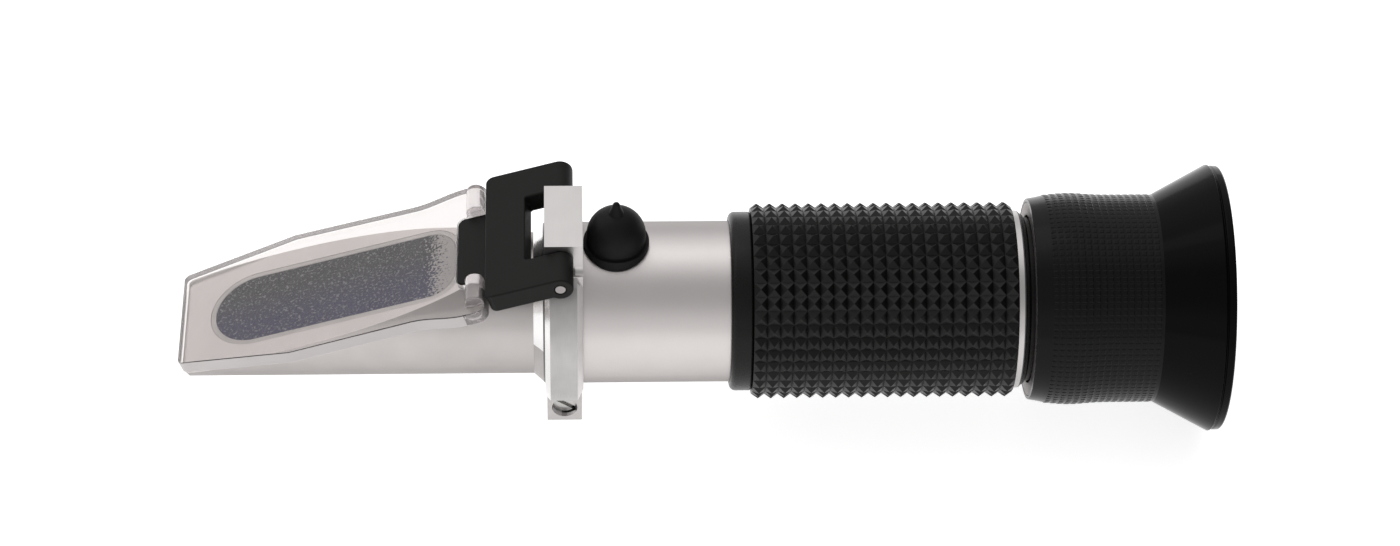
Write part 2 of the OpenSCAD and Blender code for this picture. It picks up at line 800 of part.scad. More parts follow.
module reticle_glass() {
    x1 = focus_x + reticle_holder_len - reticle_lip;
    color("azure", 0.6) axis_rod(x1 - reticle_t, x1, reticle_d / 2);
}

module reticle_ring() {
    x1 = focus_x + reticle_holder_len - reticle_lip - reticle_t;
    color("dimgray") axis_ring(focus_x, x1, reticle_d / 2, reticle_open_d / 2);
}

module grip_collar() {
    r = collar_d / 2;
    c = collar_round;
    color([0.1, 0.1, 0.1]) turned(concat(
        [[collar_x, tube_r + fixed_fit]],
        arc([collar_x + c, r - c], c, 180, 90),
        arc([grip_x - c / 2, r - c / 2], c / 2, 90, 0),
        [[grip_x, tube_r + fixed_fit]]
    ));
}

// Studded rubber sleeve: a ring of four-sided pyramids repeated along the grip
module grip_sleeve() {
    step = 360 / studs_round;
    pitch = grip_len / stud_rows;
    bore = (tube_r + fixed_fit) / cos(step / 2);
    foot = grip_d / 2;
    function at(x, r, a) = [x, r * cos(a), r * sin(a)];
    feet = [for (i = [0 : stud_rows]) for (j = [0 : studs_round - 1])
        at(grip_x + i * pitch, foot, j * step)];
    tips = [for (i = [0 : stud_rows - 1]) for (j = [0 : studs_round - 1])
        at(grip_x + (i + 0.5) * pitch, foot + stud_h, (j + 0.5) * step)];
    bores = [for (x = [grip_x, grip_x + grip_len]) for (j = [0 : studs_round - 1])
        at(x, bore, j * step)];
    n = studs_round;
    t0 = len(feet);
    b0 = t0 + len(tips);
    last = stud_rows * n;
    studs = [for (i = [0 : stud_rows - 1]) for (j = [0 : n - 1])
        let (k = (j + 1) % n, a = i * n + j, b = i * n + k, c = a + n, d = b + n,
             t = t0 + i * n + j)
        each [[t, b, a], [t, d, b], [t, c, d], [t, a, c]]];
    ends = [for (j = [0 : n - 1]) let (k = (j + 1) % n)
        each [
            [j, k, b0 + k], [j, b0 + k, b0 + j],
            [b0 + j, b0 + k, b0 + n + k], [b0 + j, b0 + n + k, b0 + n + j],
            [b0 + n + j, b0 + n + k, last + k], [b0 + n + j, last + k, last + j]
        ]];
    color([0.12, 0.12, 0.12]) polyhedron(concat(feet, tips, bores), concat(studs, ends));
}

module end_ring() {
    r = end_ring_d / 2;
    c = end_ring_round;
    color("lightgray") turned(concat(
        [[end_ring_x, inner_r + fixed_fit], [end_ring_x, r]],
        arc([shoulder_x - c, r - c], c, 90, 0),
        [[shoulder_x, inner_r + fixed_fit]]
    ));
}

module focus_barrel() {
    spigot_r = inner_r;
    rear = run_end_x - pass_gap;
    sr = shoulder_d / 2;
    color([0.1, 0.1, 0.1]) turned(concat(
        [[focus_x, reticle_holder_d / 2 + fixed_fit], [focus_x, spigot_r],
         [shoulder_x, spigot_r], [shoulder_x, sr]],
        arc([shoulder_x, focus_d / 2], shoulder_len, 90, 0, 6),
        [[rear, focus_d / 2], [rear, focus_bore_d / 2],
         [focus_x + reticle_holder_len, focus_bore_d / 2],
         [focus_x + reticle_holder_len, reticle_holder_d / 2 + fixed_fit]]
    ));
}

module eyepiece_barrel() {
    color("lightgray") turned([
        [eyepiece_x, mouth_d / 2], [run_x, mouth_d / 2], [run_x, focus_d / 2 + run_fit],
        [run_end_x, focus_d / 2 + run_fit], [run_end_x, cell_d / 2 + run_fit],
        [barrel_end, cell_d / 2 + run_fit], [barrel_end, barrel_d / 2],
        [eyepiece_x, barrel_d / 2]
    ]);
}

// Outside of the rubber sleeve, from its front edge to the start of the flare
sleeve_steps = 16;
function sleeve_curve() = [for (i = [0 : sleeve_steps]) let (d = sleeve_len * i / sleeve_steps)
    [eyepiece_x + d,
     sleeve_d / 2 + sleeve_swell / 2 * exp(-pow((d - swell_x) / swell_run, 2))
     - sleeve_nose / 2 * exp(-pow(d / nose_run, 2))]];

module eyecup() {
    rim_x = -rim_len;
    rim_r = cup_d / 2 - rim_step;
    floor_r = cup_d / 2 - cup_wall - (cup_d - sleeve_d) / 2 * (rim_x - cup_floor_x) / flare_len;
    color([0.09, 0.09, 0.09]) turned(concat(
        [[eyepiece_x, barrel_d / 2 + fixed_fit]],
        sleeve_curve(),
        [[rim_x, cup_d / 2], [rim_x + groove_run, cup_d / 2 - rim_groove],
         [rim_x + 2 * groove_run, rim_r], [-rim_round, rim_r], [0, rim_r - rim_round],
         [0, cup_d / 2 - cup_wall], [rim_x, cup_d / 2 - cup_wall],
         [cup_floor_x, floor_r], [cup_floor_x, cell_d / 2 - cup_lip],
         [barrel_end + fixed_fit, cell_d / 2 - cup_lip],
         [barrel_end + fixed_fit, barrel_d / 2 + fixed_fit]]
    ));
}

// Stations inside the lens cell
cell_x = barrel_end - cell_len - cell_recess;
cell_r = cell_d / 2 - cell_wall;
field_x = cell_x + cell_lip;
spacer_x = field_x + lens_edge;
eye_x = spacer_x + spacer_len;
lens_ring_x = eye_x + lens_edge;

module lens_cell() {
    color("dimgray") turned([
        [cell_x, cell_r - lens_ledge], [field_x, cell_r - lens_ledge], [field_x, cell_r],
        [cell_x + cell_len, cell_r], [cell_x + cell_len, cell_d / 2], [cell_x, cell_d / 2]
    ]);
}

module field_lens() {
    color("lightblue", 0.5) lens(field_x, cell_r - fixed_fit, lens_edge, lens_bulge, 1);
}

module lens_spacer() {
    color("dimgray")
        axis_ring(spacer_x, eye_x, cell_r - fixed_fit, cell_r - lens_ledge);
}

module eye_lens() {
    color("lightblue", 0.5) lens(lens_ring_x, cell_r - fixed_fit, lens_edge, lens_bulge, -1);
}

module lens_ring() {
    color("dimgray") axis_ring(lens_ring_x, cell_x + cell_len, cell_r - fixed_fit,
                               cell_r - lens_ledge);
}

prism_box();
main_prism();
prism_seal();
main_tube();
clamp_ring();
clamp_screw();
hinge_pin();
hinge_bracket();
daylight_plate();
calibration_cap();
calibration_boss();
calibration_screw();
screw_clip();
objective_carrier();
objective_lens();
objective_ring();
carrier_guide();
guide_cover();
baffle_tube();
reticle_holder();
reticle_glass();
reticle_ring();
grip_collar();
grip_sleeve();
end_ring();
focus_barrel();
eyepiece_barrel();
eyecup();
lens_cell();
field_lens();
lens_spacer();
eye_lens();
lens_ring();
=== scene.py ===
"""Handheld refractometer: the finish and fine form of every piece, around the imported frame."""

import logging
import math
from contextlib import contextmanager
from dataclasses import dataclass
from enum import Enum
from typing import Callable, ClassVar, Iterator, Sequence

import bmesh
import bpy
from mathutils import Matrix, Vector


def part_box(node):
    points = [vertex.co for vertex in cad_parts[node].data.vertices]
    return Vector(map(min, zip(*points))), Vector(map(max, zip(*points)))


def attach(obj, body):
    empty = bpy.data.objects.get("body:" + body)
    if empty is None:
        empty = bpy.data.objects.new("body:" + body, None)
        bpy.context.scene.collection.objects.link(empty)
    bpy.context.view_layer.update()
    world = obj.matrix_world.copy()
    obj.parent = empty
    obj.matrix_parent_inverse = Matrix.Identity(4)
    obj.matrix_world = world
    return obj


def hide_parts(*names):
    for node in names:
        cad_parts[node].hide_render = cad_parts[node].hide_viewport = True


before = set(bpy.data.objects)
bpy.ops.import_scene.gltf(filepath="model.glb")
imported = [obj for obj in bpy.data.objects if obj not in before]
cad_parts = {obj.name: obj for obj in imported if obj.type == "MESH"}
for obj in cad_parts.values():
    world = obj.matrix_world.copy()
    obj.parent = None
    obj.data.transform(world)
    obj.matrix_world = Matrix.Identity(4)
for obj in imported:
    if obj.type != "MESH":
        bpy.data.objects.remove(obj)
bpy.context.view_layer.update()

logging.basicConfig(level=logging.INFO, format="%(message)s")
LOG = logging.getLogger("refractometer")

MM = 0.001

MERGE_DISTANCE = 1e-7
FLAT_ANGLE = math.radians(0.5)
SHARP_DEGREES = 35.0
BEVEL_ANGLE = math.radians(32.0)
MIN_ROUGHNESS = 0.02
NOISE_MIDDLE = (0.3, 0.7)
BLOTCH_DETAIL = 3.0

CORNERS = ((-1, -1), (1, -1), (1, 1), (-1, 1))
LATHE_STEPS = 160

Point = tuple[float, float]


class Body(Enum):
    """The bodies of the frame that pieces ride on."""

    ROOT = "root"
    COVER = "cover"
    CAP = "cap"
    ADJUSTER = "adjuster"
    CARRIER = "carrier"
    OPTICS = "optics"
    EYEPIECE = "eyepiece"


class Grain(Enum):
    """How the fine relief of a finish lies on the surface."""

    EVEN = "even"
    ROUND_THE_AXIS = "round the axis"


UNSTRETCHED = (1.0, 1.0, 1.0)
GRAIN_STRETCH: dict[Grain, tuple[float, float, float]] = {
    Grain.EVEN: UNSTRETCHED,
    Grain.ROUND_THE_AXIS: (1.0, 0.03, 0.03),
}


class NodeTree:
    """A tree of nodes with short calls to add and join them."""

    def __init__(self, tree: bpy.types.NodeTree) -> None:
        """Empty a tree and take it over."""
        self.nodes = tree.nodes
        self.links = tree.links
        self.nodes.clear()

    @classmethod
    def of(cls, owner: bpy.types.Material | bpy.types.World) -> "NodeTree":
        """Take over the tree of a material or of the world."""
        owner.use_nodes = True
        return cls(owner.node_tree)

    def add(self, kind: str, **sockets: object) -> bpy.types.Node:
        """Add a node and set its named inputs.

        Args:
            kind: The node's type name.
            sockets: Input values by name, with underscores for spaces.

        Returns:
            The new node.
        """
        node = self.nodes.new(kind)
        for name, value in sockets.items():
            node.inputs[name.replace("_", " ")].default_value = value
        return node

    def made(self, kind: str, **settings: object) -> bpy.types.Node:
        """Add a node and set its properties."""
        node = self.nodes.new(kind)
        for name, value in settings.items():
            setattr(node, name, value)
        return node

    def link(self, source: bpy.types.NodeSocket, target: bpy.types.NodeSocket) -> None:
        """Join an output to an input."""
        self.links.new(source, target)

    def calculate(
        self, operation: str, *values: object, clamp: bool = False
    ) -> bpy.types.NodeSocket:
        """Add a math node; numbers are set and sockets are joined."""
        node = self.made("ShaderNodeMath", operation=operation, use_clamp=clamp)
        for slot, value in zip(node.inputs, values):
            if isinstance(value, bpy.types.NodeSocket):
                self.link(value, slot)
            else:
                slot.default_value = value
        return node.outputs[0]

    def apart(self, vector: bpy.types.NodeSocket) -> bpy.types.Node:
        """Split a vector into its outputs X, Y and Z."""
        node = self.nodes.new("ShaderNodeSeparateXYZ")
        self.link(vector, node.inputs[0])
        return node

    def ranged(
        self, value: bpy.types.NodeSocket, start: Sequence[float], end: Sequence[float]
    ) -> bpy.types.Node:
        """Map a value from one range (low, high) onto another."""
        node = self.add(
            "ShaderNodeMapRange",
            From_Min=start[0], From_Max=start[1], To_Min=end[0], To_Max=end[1],
        )
        self.link(value, node.inputs["Value"])
        return node

    def mixed(
        self, share: bpy.types.NodeSocket, first: bpy.types.NodeSocket,
        second: Sequence[float],
    ) -> bpy.types.NodeSocket:
        """A colour that turns from one of the tree into a fixed one by a share."""
        node = self.add("ShaderNodeMixRGB", Color2=(*second, 1.0))
        self.link(share, node.inputs["Fac"])
        self.link(first, node.inputs["Color1"])
        return node.outputs["Color"]

    def coordinates(self, stretch: Sequence[float]) -> bpy.types.NodeSocket:
        """Object coordinates, stretched so that a pattern lies along one way."""
        place = self.add("ShaderNodeTexCoord")
        mapping = self.add("ShaderNodeMapping", Scale=tuple(stretch))
        self.link(place.outputs["Object"], mapping.inputs["Vector"])
        return mapping.outputs["Vector"]

    def noise(
        self, vector: bpy.types.NodeSocket, grain_mm: float, detail: float = 2.0
    ) -> bpy.types.NodeSocket:
        """Noise whose blobs are about as large as the given grain, in millimetres."""
        node = self.add("ShaderNodeTexNoise", Scale=1.0 / (grain_mm * MM), Detail=detail)
        self.link(vector, node.inputs["Vector"])
        return node.outputs["Fac"]

    def spread(
        self, value: bpy.types.NodeSocket, low: float, high: float
    ) -> bpy.types.NodeSocket:
        """Map the middle of a noise onto a range."""
        return self.ranged(value, NOISE_MIDDLE, (low, high)).outputs["Result"]

    def tint(
        self, value: bpy.types.NodeSocket, dark: Sequence[float], light: Sequence[float]
    ) -> bpy.types.NodeSocket:
        """Two colours mixed by a value."""
        node = self.nodes.new("ShaderNodeValToRGB")
        stops = node.color_ramp.elements
        for stop, position, color in zip(stops, NOISE_MIDDLE, (dark, light)):
            stop.position = position
            stop.color = (*color, 1.0)
        self.link(value, node.inputs["Fac"])
        return node.outputs["Color"]

    def bump(
        self, height: bpy.types.NodeSocket, depth_mm: float, strength: float
    ) -> bpy.types.NodeSocket:
        """Fine relief from a height."""
        node = self.add("ShaderNodeBump", Strength=strength, Distance=depth_mm * MM)
        self.link(height, node.inputs["Height"])
        return node.outputs["Normal"]

    def surface(self, shader: bpy.types.Node) -> None:
        """End the tree in a surface shader."""
        output = self.add("ShaderNodeOutputMaterial")
        self.link(shader.outputs[0], output.inputs["Surface"])


def painted(name: str, paint: Callable[[NodeTree], None]) -> bpy.types.Material:
    """The material of a name; a function paints its tree when it is first asked for."""
    material = bpy.data.materials.get(name)
    if material is None:
        material = bpy.data.materials.new(name)
        paint(NodeTree.of(material))
    return material


@dataclass(frozen=True)
class Finish:
    """A surface finish: colour, gloss and fine grain, the same way for metal and rubber.

    Attributes:
        name: Name of the material.
        slot: Name of the slot; not used.
        color: Its colour.
        roughness: Its roughness.
        metallic: How metallic it is.
        shade: Share by which the colour is darker and lighter in broad blotches.
        roughness_spread: How far the fine grain changes the roughness.
        grain_mm: Size of the fine grain.
        grain_depth_mm: Depth of its relief.
        grain_strength: Strength of its relief.
        grain: How the grain lies.
        blotch_mm: Size of the broad blotches.
        specular: Strength of the reflection of what isn't metal.
        edge_tint: Brightness of the reflection at a flat angle.
        alpha: Share that covers what is behind.
        transmission: Share of the light that goes through.
        ior: Refractive index.
    """

    name: str
    slot: str
    color: tuple[float, float, float]
    roughness: float
    metallic: float = 0.0
    shade: float = 0.06
    roughness_spread: float = 0.05
    grain_mm: float = 0.12
    grain_depth_mm: float = 0.01
    grain_strength: float = 0.3
    grain: Grain = Grain.EVEN
    blotch_mm: float = 6.0
    specular: float = 0.5
    edge_tint: float = 1.0
    alpha: float = 1.0
    transmission: float = 0.0
    ior: float = 1.5

    def build(self) -> bpy.types.Material:
        """Make the material, or return it if it exists."""
        return painted(self.name, self.paint)

    def paint(self, tree: NodeTree) -> None:
        """Paint the material's tree."""
        stretched = tree.coordinates(GRAIN_STRETCH[self.grain])
        fine = tree.noise(stretched, self.grain_mm)
        broad = tree.noise(tree.coordinates(UNSTRETCHED), self.blotch_mm, BLOTCH_DETAIL)
        shader = tree.add(
            "ShaderNodeBsdfPrincipled",
            Metallic=self.metallic,
            Specular_IOR_Level=self.specular,
            Specular_Tint=(self.edge_tint, self.edge_tint, self.edge_tint, 1.0),
            Alpha=self.alpha,
            Transmission_Weight=self.transmission,
            IOR=self.ior,
        )
        dark = [c * (1.0 - self.shade) for c in self.color]
        light = [min(1.0, c * (1.0 + self.shade)) for c in self.color]
        tree.link(tree.tint(broad, dark, light), shader.inputs["Base Color"])
        rough = tree.spread(
            fine,
            max(MIN_ROUGHNESS, self.roughness - self.roughness_spread),
            min(1.0, self.roughness + self.roughness_spread),
        )
        tree.link(rough, shader.inputs["Roughness"])
        normal = tree.bump(fine, self.grain_depth_mm, self.grain_strength)
        tree.link(normal, shader.inputs["Normal"])
        tree.surface(shader)


@dataclass(frozen=True)
class PrismFinish:
    """The prism's measuring face: slate glass, frosted grain and a violet lower side.

    Attributes:
        name: Name of the material.
        slot: Name of the slot; not used.
        violet: Colour of the side towards -Y.
        grey: Colour of the side towards +Y.
        glint: Colour of the grain's bright points.
        pale: Colour of the end that dissolves in grain.
        fade: Stations at which it starts and ends to dissolve.
        half_width: Distance from the middle line at which the colours are reached.
        colour_range: Range of the colour mix across that width.
        speckle_mm: Size of the grain.
        speckle_detail: Detail of the grain.
        speckle_range: Range onto which the grain is spread.
        fade_range: Range of the fading.
        fade_grain: Share of the grain in the fading.
        roughness: Roughness of the glass.
        specular: Strength of its reflection.
        relief: Depth of the grain in millimetres, and its strength.
    """

    name: str = "measuring face"
    slot: str = "prism_glass"
    violet: tuple[float, float, float] = (0.016, 0.008, 0.130)
    grey: tuple[float, float, float] = (0.017, 0.019, 0.024)
    glint: tuple[float, float, float] = (0.40, 0.40, 0.44)
    pale: tuple[float, float, float] = (0.86, 0.84, 0.83)
    fade: tuple[float, float] = (-0.1278, -0.1222)
    half_width: float = 6.9 * MM
    colour_range: tuple[float, float] = (0.1, 0.9)
    speckle_mm: float = 0.38
    speckle_detail: float = 4.0
    speckle_range: tuple[float, float] = (-2.0, 1.3)
    fade_range: tuple[float, float] = (-1.2, 2.4)
    fade_grain: float = 0.9
    roughness: float = 0.4
    specular: float = 0.25
    relief: tuple[float, float] = (0.01, 0.4)

    def build(self) -> bpy.types.Material:
        """Make the material, or return it if it exists."""
        return painted(self.name, self.paint)

    def paint(self, tree: NodeTree) -> None:
        """Paint the material's tree."""
        place = tree.coordinates(UNSTRETCHED)
        apart = tree.apart(place)
        width = (-self.half_width, self.half_width)
        across = tree.ranged(apart.outputs["Y"], width, self.colour_range)
        body = tree.tint(across.outputs["Result"], self.violet, self.grey)
        grain = tree.noise(place, self.speckle_mm, self.speckle_detail)
        speck = tree.spread(grain, *self.speckle_range)
        glass = tree.mixed(speck, body, self.glint)
        end = tree.ranged(apart.outputs["X"], self.fade, self.fade_range)
        faded = tree.calculate(
            "MULTIPLY_ADD", speck, self.fade_grain, end.outputs["Result"], clamp=True
        )
        color = tree.mixed(faded, glass, self.pale)
        shader = tree.add(
            "ShaderNodeBsdfPrincipled",
            Roughness=self.roughness,
            Specular_IOR_Level=self.specular,
        )
        tree.link(color, shader.inputs["Base Color"])
        tree.link(tree.bump(speck, *self.relief), shader.inputs["Normal"])
        tree.surface(shader)


SATIN = Finish(
    "satin plated metal", "satin_metal", (0.565, 0.533, 0.525), 0.36, metallic=1.0,
    shade=0.02, roughness_spread=0.05, grain_mm=0.16, grain_depth_mm=0.02,
    grain_strength=0.35, blotch_mm=9.0, edge_tint=0.45,
)
RING = Finish(
    "machined ring metal", "ring_metal", (0.495, 0.478, 0.472), 0.34, metallic=1.0,
    shade=0.03, grain_mm=0.10, grain_strength=0.35, grain=Grain.ROUND_THE_AXIS,
)
STEEL = Finish(
    "bright steel", "pin_steel", (0.50, 0.49, 0.48), 0.24, metallic=1.0,
    grain_mm=0.08, grain_strength=0.2,
)
PIN = Finish(
    "pin end metal", "pin_steel", (0.27, 0.25, 0.25), 0.34, metallic=1.0, shade=0.12,
    grain_mm=0.10, grain_depth_mm=0.02, grain_strength=0.5,
)
# The box's satin plating as a darker copy of the tube's metal: painted shade on the box's sides.
BOX_IN_PAINTED_SHADE = Finish(
    "satin box metal in painted shade", "satin_metal", (0.45, 0.425, 0.417), 0.36, metallic=1.0,
    shade=0.04, grain_mm=0.12, grain_depth_mm=0.012, grain_strength=0.35, edge_tint=0.6,
)
# Painted shade on the rounded edge of the end ring.
RING_EDGE_SHADE = Finish(
    "ring edge in painted shade", "ring_metal", (0.120, 0.124, 0.130), 0.38, metallic=1.0,
    shade=0.04, grain_mm=0.1, grain_strength=0.2, grain=Grain.ROUND_THE_AXIS,
)
BRACKET = Finish(
    "bracket moulding", "bracket_black", (0.0085, 0.0082, 0.0076), 0.50, shade=0.05,
    grain_mm=0.20, grain_depth_mm=0.02, grain_strength=0.3, specular=0.12,
)
PLATE = Finish(
    "clear plate", "clear_plate", (0.745, 0.716, 0.709), 0.03, shade=0.01,
    roughness_spread=0.01, grain_mm=0.5, grain_depth_mm=0.003, grain_strength=0.1,
    specular=0.35, transmission=1.0, ior=1.49,
)
# A darker, mostly opaque grey for the plate's near walls: painted shade.
PLATE_EDGE_SHADE = Finish(
    "near plate wall in painted shade", "clear_plate", (0.55, 0.52, 0.515), 0.42, shade=0.02,
    roughness_spread=0.03, grain_mm=0.9, grain_depth_mm=0.004, grain_strength=0.1,
    transmission=0.12, ior=1.49,
)
FROSTED = Finish(
    "sawn plate wall", "clear_plate", (0.96, 0.94, 0.935), 0.50, shade=0.01,
    roughness_spread=0.02, grain_mm=0.5, grain_depth_mm=0.003, grain_strength=0.1,
    specular=0.3, transmission=1.0, ior=1.49,
)
RIDGE = Finish(
    "ear ridge", "clear_plate", (0.64, 0.585, 0.585), 0.14, shade=0.02,
    roughness_spread=0.03, grain_mm=0.9, grain_depth_mm=0.004, grain_strength=0.1,
    transmission=0.72, ior=1.49,
)
FACED = Finish(
    "faced metal", "satin_metal", (0.98, 0.955, 0.942), 0.34, metallic=1.0, shade=0.015,
    roughness_spread=0.03, grain_mm=0.14, grain_depth_mm=0.01, grain_strength=0.3,
)
# Polished metal; on the cone's upper side it also stands in for a highlight.
POLISH_AND_HIGHLIGHT = Finish(
    "polished metal with painted highlight", "satin_metal", (0.74, 0.73, 0.725), 0.16, metallic=1.0, shade=0.01,
    roughness_spread=0.03, grain_mm=0.1, grain_depth_mm=0.01, grain_strength=0.15,
    grain=Grain.ROUND_THE_AXIS,
)
BRUSHED = Finish(
    "brushed ring face", "ring_metal", (0.43, 0.42, 0.415), 0.42, metallic=1.0,
    shade=0.05, roughness_spread=0.08, grain_mm=0.08, grain_depth_mm=0.02,
    grain_strength=0.5, grain=Grain.ROUND_THE_AXIS, blotch_mm=3.0,
)
# Pale colour on the clamp ring's rear bevel: a painted highlight.
BEVEL = Finish(
    "turned bevel with painted highlight", "ring_metal", (0.80, 0.775, 0.765), 0.55, metallic=0.35,
    shade=0.02, grain_mm=0.1, grain_depth_mm=0.01, grain_strength=0.2,
    grain=Grain.ROUND_THE_AXIS,
)
# A darker, rougher copy of the cone's metal: painted shade on the cone's lower side.
CONE_SHADE = Finish(
    "turned cone in painted shade", "satin_metal", (0.42, 0.398, 0.390), 0.45, metallic=1.0,
    shade=0.06, grain_mm=0.1, grain_depth_mm=0.02, grain_strength=0.4,
    grain=Grain.ROUND_THE_AXIS,
)
SHADOW_LINE = Finish(
    "dark turned line", "satin_metal", (0.13, 0.13, 0.13), 0.40, metallic=1.0,
    shade=0.05, grain_mm=0.1, grain_strength=0.2,
)
SEAL = Finish(
    "sealing bead", "seal", (0.88, 0.86, 0.85), 0.45, metallic=0.7, grain_mm=0.3,
    grain_strength=0.3,
)
CAP = Finish(
    "cap rubber", "cap_rubber", (0.0065, 0.0065, 0.0065), 0.50, shade=0.08,
    grain_mm=0.18, grain_depth_mm=0.015, grain_strength=0.3, specular=0.12,
)
GRIP = Finish(
    "grip rubber", "grip_rubber", (0.0024, 0.0023, 0.0022), 0.32, shade=0.08,
    grain_mm=0.14, grain_depth_mm=0.015, grain_strength=0.3, specular=0.20,
)
COLLAR = Finish(
    "collar moulding", "collar_black", (0.005, 0.005, 0.0047), 0.30, shade=0.10,
    grain_mm=0.3, grain_depth_mm=0.02, grain_strength=0.4, specular=0.16,
)
EYECUP = Finish(
    "eyecup rubber", "eyecup_rubber", (0.0045, 0.0045, 0.0045), 0.20, shade=0.06,
    grain_mm=0.35, grain_depth_mm=0.006, grain_strength=0.15, specular=0.10,
)
FLARE = Finish(
    "smooth flare", "eyecup_rubber", (0.0020, 0.0020, 0.0020), 0.13, shade=0.05,
    roughness_spread=0.03, grain_mm=0.5, grain_depth_mm=0.004, grain_strength=0.1,
    specular=0.048,
)
ANODISED = Finish(
    "black anodised metal", "black_anodised", (0.018, 0.018, 0.018), 0.42, metallic=0.3,
    grain_mm=0.1, grain_strength=0.2, grain=Grain.ROUND_THE_AXIS,
)
BRASS = Finish(
    "turned brass", "brass", (0.72, 0.54, 0.26), 0.28, metallic=1.0,
    grain_mm=0.08, grain_strength=0.25,
)
LENS = Finish(
    "coated lens", "lens_glass", (0.92, 0.95, 0.97), 0.03, roughness_spread=0.01,
    grain_strength=0.0, alpha=0.5, transmission=1.0, ior=1.52,
)
MEASURING_FACE = PrismFinish()

AnyFinish = Finish | PrismFinish


@contextmanager
def editing(mesh: bpy.types.Mesh) -> Iterator[bmesh.types.BMesh]:
    """Open a mesh for edits and write them back at the end."""
    bm = bmesh.new()
    bm.from_mesh(mesh)
    yield bm
    bm.to_mesh(mesh)
    bm.free()


def own_mesh(node: str, name: str) -> bpy.types.Object:
    """Copy a node's mesh into a new object with shared points merged.

    Args:
        node: The node's name in the frame.
        name: The new piece's name.

    Returns:
        The new object, linked to the scene, at the origin.
    """
    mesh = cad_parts[node].data.copy()
    mesh.materials.clear()
    with editing(mesh) as bm:
        bmesh.ops.remove_doubles(bm, verts=bm.verts, dist=MERGE_DISTANCE)
        bmesh.ops.dissolve_limit(
            bm, angle_limit=FLAT_ANGLE, verts=bm.verts, edges=bm.edges
        )
    custom = mesh.attributes.get("custom_normal")
    if custom is not None:
        mesh.attributes.remove(custom)
    return link_mesh(mesh, name)


def link_mesh(mesh: bpy.types.Mesh, name: str) -> bpy.types.Object:
    """Give a mesh an object in the scene."""
    mesh.name = name
    piece = bpy.data.objects.new(name, mesh)
    bpy.context.scene.collection.objects.link(piece)
    return piece


def smooth_by_angle(piece: bpy.types.Object, degrees: float = SHARP_DEGREES) -> None:
    """Shade faces smooth and keep edges sharper than an angle as edges."""
    limit = math.radians(degrees)
    with editing(piece.data) as bm:
        for face in bm.faces:
            face.smooth = True
        for edge in bm.edges:
            edge.smooth = len(edge.link_faces) == 2 and edge.calc_face_angle(0.0) < limit


def bevel_edges(piece: bpy.types.Object, width_mm: float, segments: int = 2) -> None:
    """Round the edges of a piece, with its flat faces kept flat in the shading."""
    bevel = piece.modifiers.new("rounded edges", "BEVEL")
    bevel.width = width_mm * MM
    bevel.segments = segments
    bevel.limit_method = "ANGLE"
    bevel.angle_limit = BEVEL_ANGLE
    bevel.miter_outer = "MITER_ARC"
    bevel.harden_normals = True
    bevel.use_clamp_overlap = True


def dressed(
    piece: bpy.types.Object, body: Body, finish: AnyFinish, *nodes: str
) -> bpy.types.Object:
    """Finish a piece: its material, its body and the nodes that it stands for.

    Args:
        piece: The object.
        body: The body that it rides on.
        finish: Its surface finish.
        nodes: The nodes that it replaces.

    Returns:
        The same object.
    """
    piece.data.materials.clear()
    piece.data.materials.append(finish.build())
    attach(piece, body.value)
    if nodes:
        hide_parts(*nodes)
    LOG.info("%s: %d faces on %s", piece.name, len(piece.data.polygons), body.value)
    return piece


def face_finish(
    piece: bpy.types.Object, finish: AnyFinish,
    chosen: Callable[[bpy.types.MeshPolygon], bool],
) -> None:
    """Give the faces that a test chooses a finish of their own.

    Args:
        piece: The dressed piece.
        finish: The finish of the chosen faces.
        chosen: The test of a face.
    """
    piece.data.materials.append(finish.build())
    place = len(piece.data.materials) - 1
    for face in piece.data.polygons:
        if chosen(face):
            face.material_index = place


def scored(piece: bpy.types.Object, x: float) -> None:
    """Cut a loop of edges round a piece, so that a finish can end there.

    Args:
        piece: The piece whose mesh is cut.
        x: The station of the loop along the tube's axis.
    """
    with editing(piece.data) as bm:
        bmesh.ops.bisect_plane(
            bm, geom=bm.verts[:] + bm.edges[:] + bm.faces[:],
            plane_co=(x, 0.0, 0.0), plane_no=(1.0, 0.0, 0.0), dist=MERGE_DISTANCE,
        )


def refined(
    node: str, body: Body, finish: AnyFinish, bevel_mm: float, segments: int = 2
) -> bpy.types.Object:
    """A node's own form with rounded edges and smooth curves, in place of the node."""
    piece = own_mesh(node, f"{node}_finish")
    smooth_by_angle(piece)
    bevel_edges(piece, bevel_mm, segments)
    return dressed(piece, body, finish, node)


def lathed(
    name: str, profile: Sequence[Point], steps: int = LATHE_STEPS
) -> bpy.types.Object:
    """A hollow solid of revolution round the optical axis.

    Args:
        name: Its name.
        profile: The closed profile's (station, radius) points, in metres, none on
            the axis.
        steps: How many steps a full turn has.

    Returns:
        The solid as a closed mesh.
    """
    angles = [2.0 * math.pi * k / steps for k in range(steps)]
    mesh = bpy.data.meshes.new(name)
    with editing(mesh) as bm:
        rings = [
            [bm.verts.new((x, r * math.sin(a), r * math.cos(a))) for a in angles]
            for x, r in profile
        ]
        for first, second in zip(rings, rings[1:] + rings[:1]):
            for k in range(steps):
                n = (k + 1) % steps
                bm.faces.new((first[k], first[n], second[n], second[k]))
        bmesh.ops.recalc_face_normals(bm, faces=bm.faces)
    return link_mesh(mesh, name)


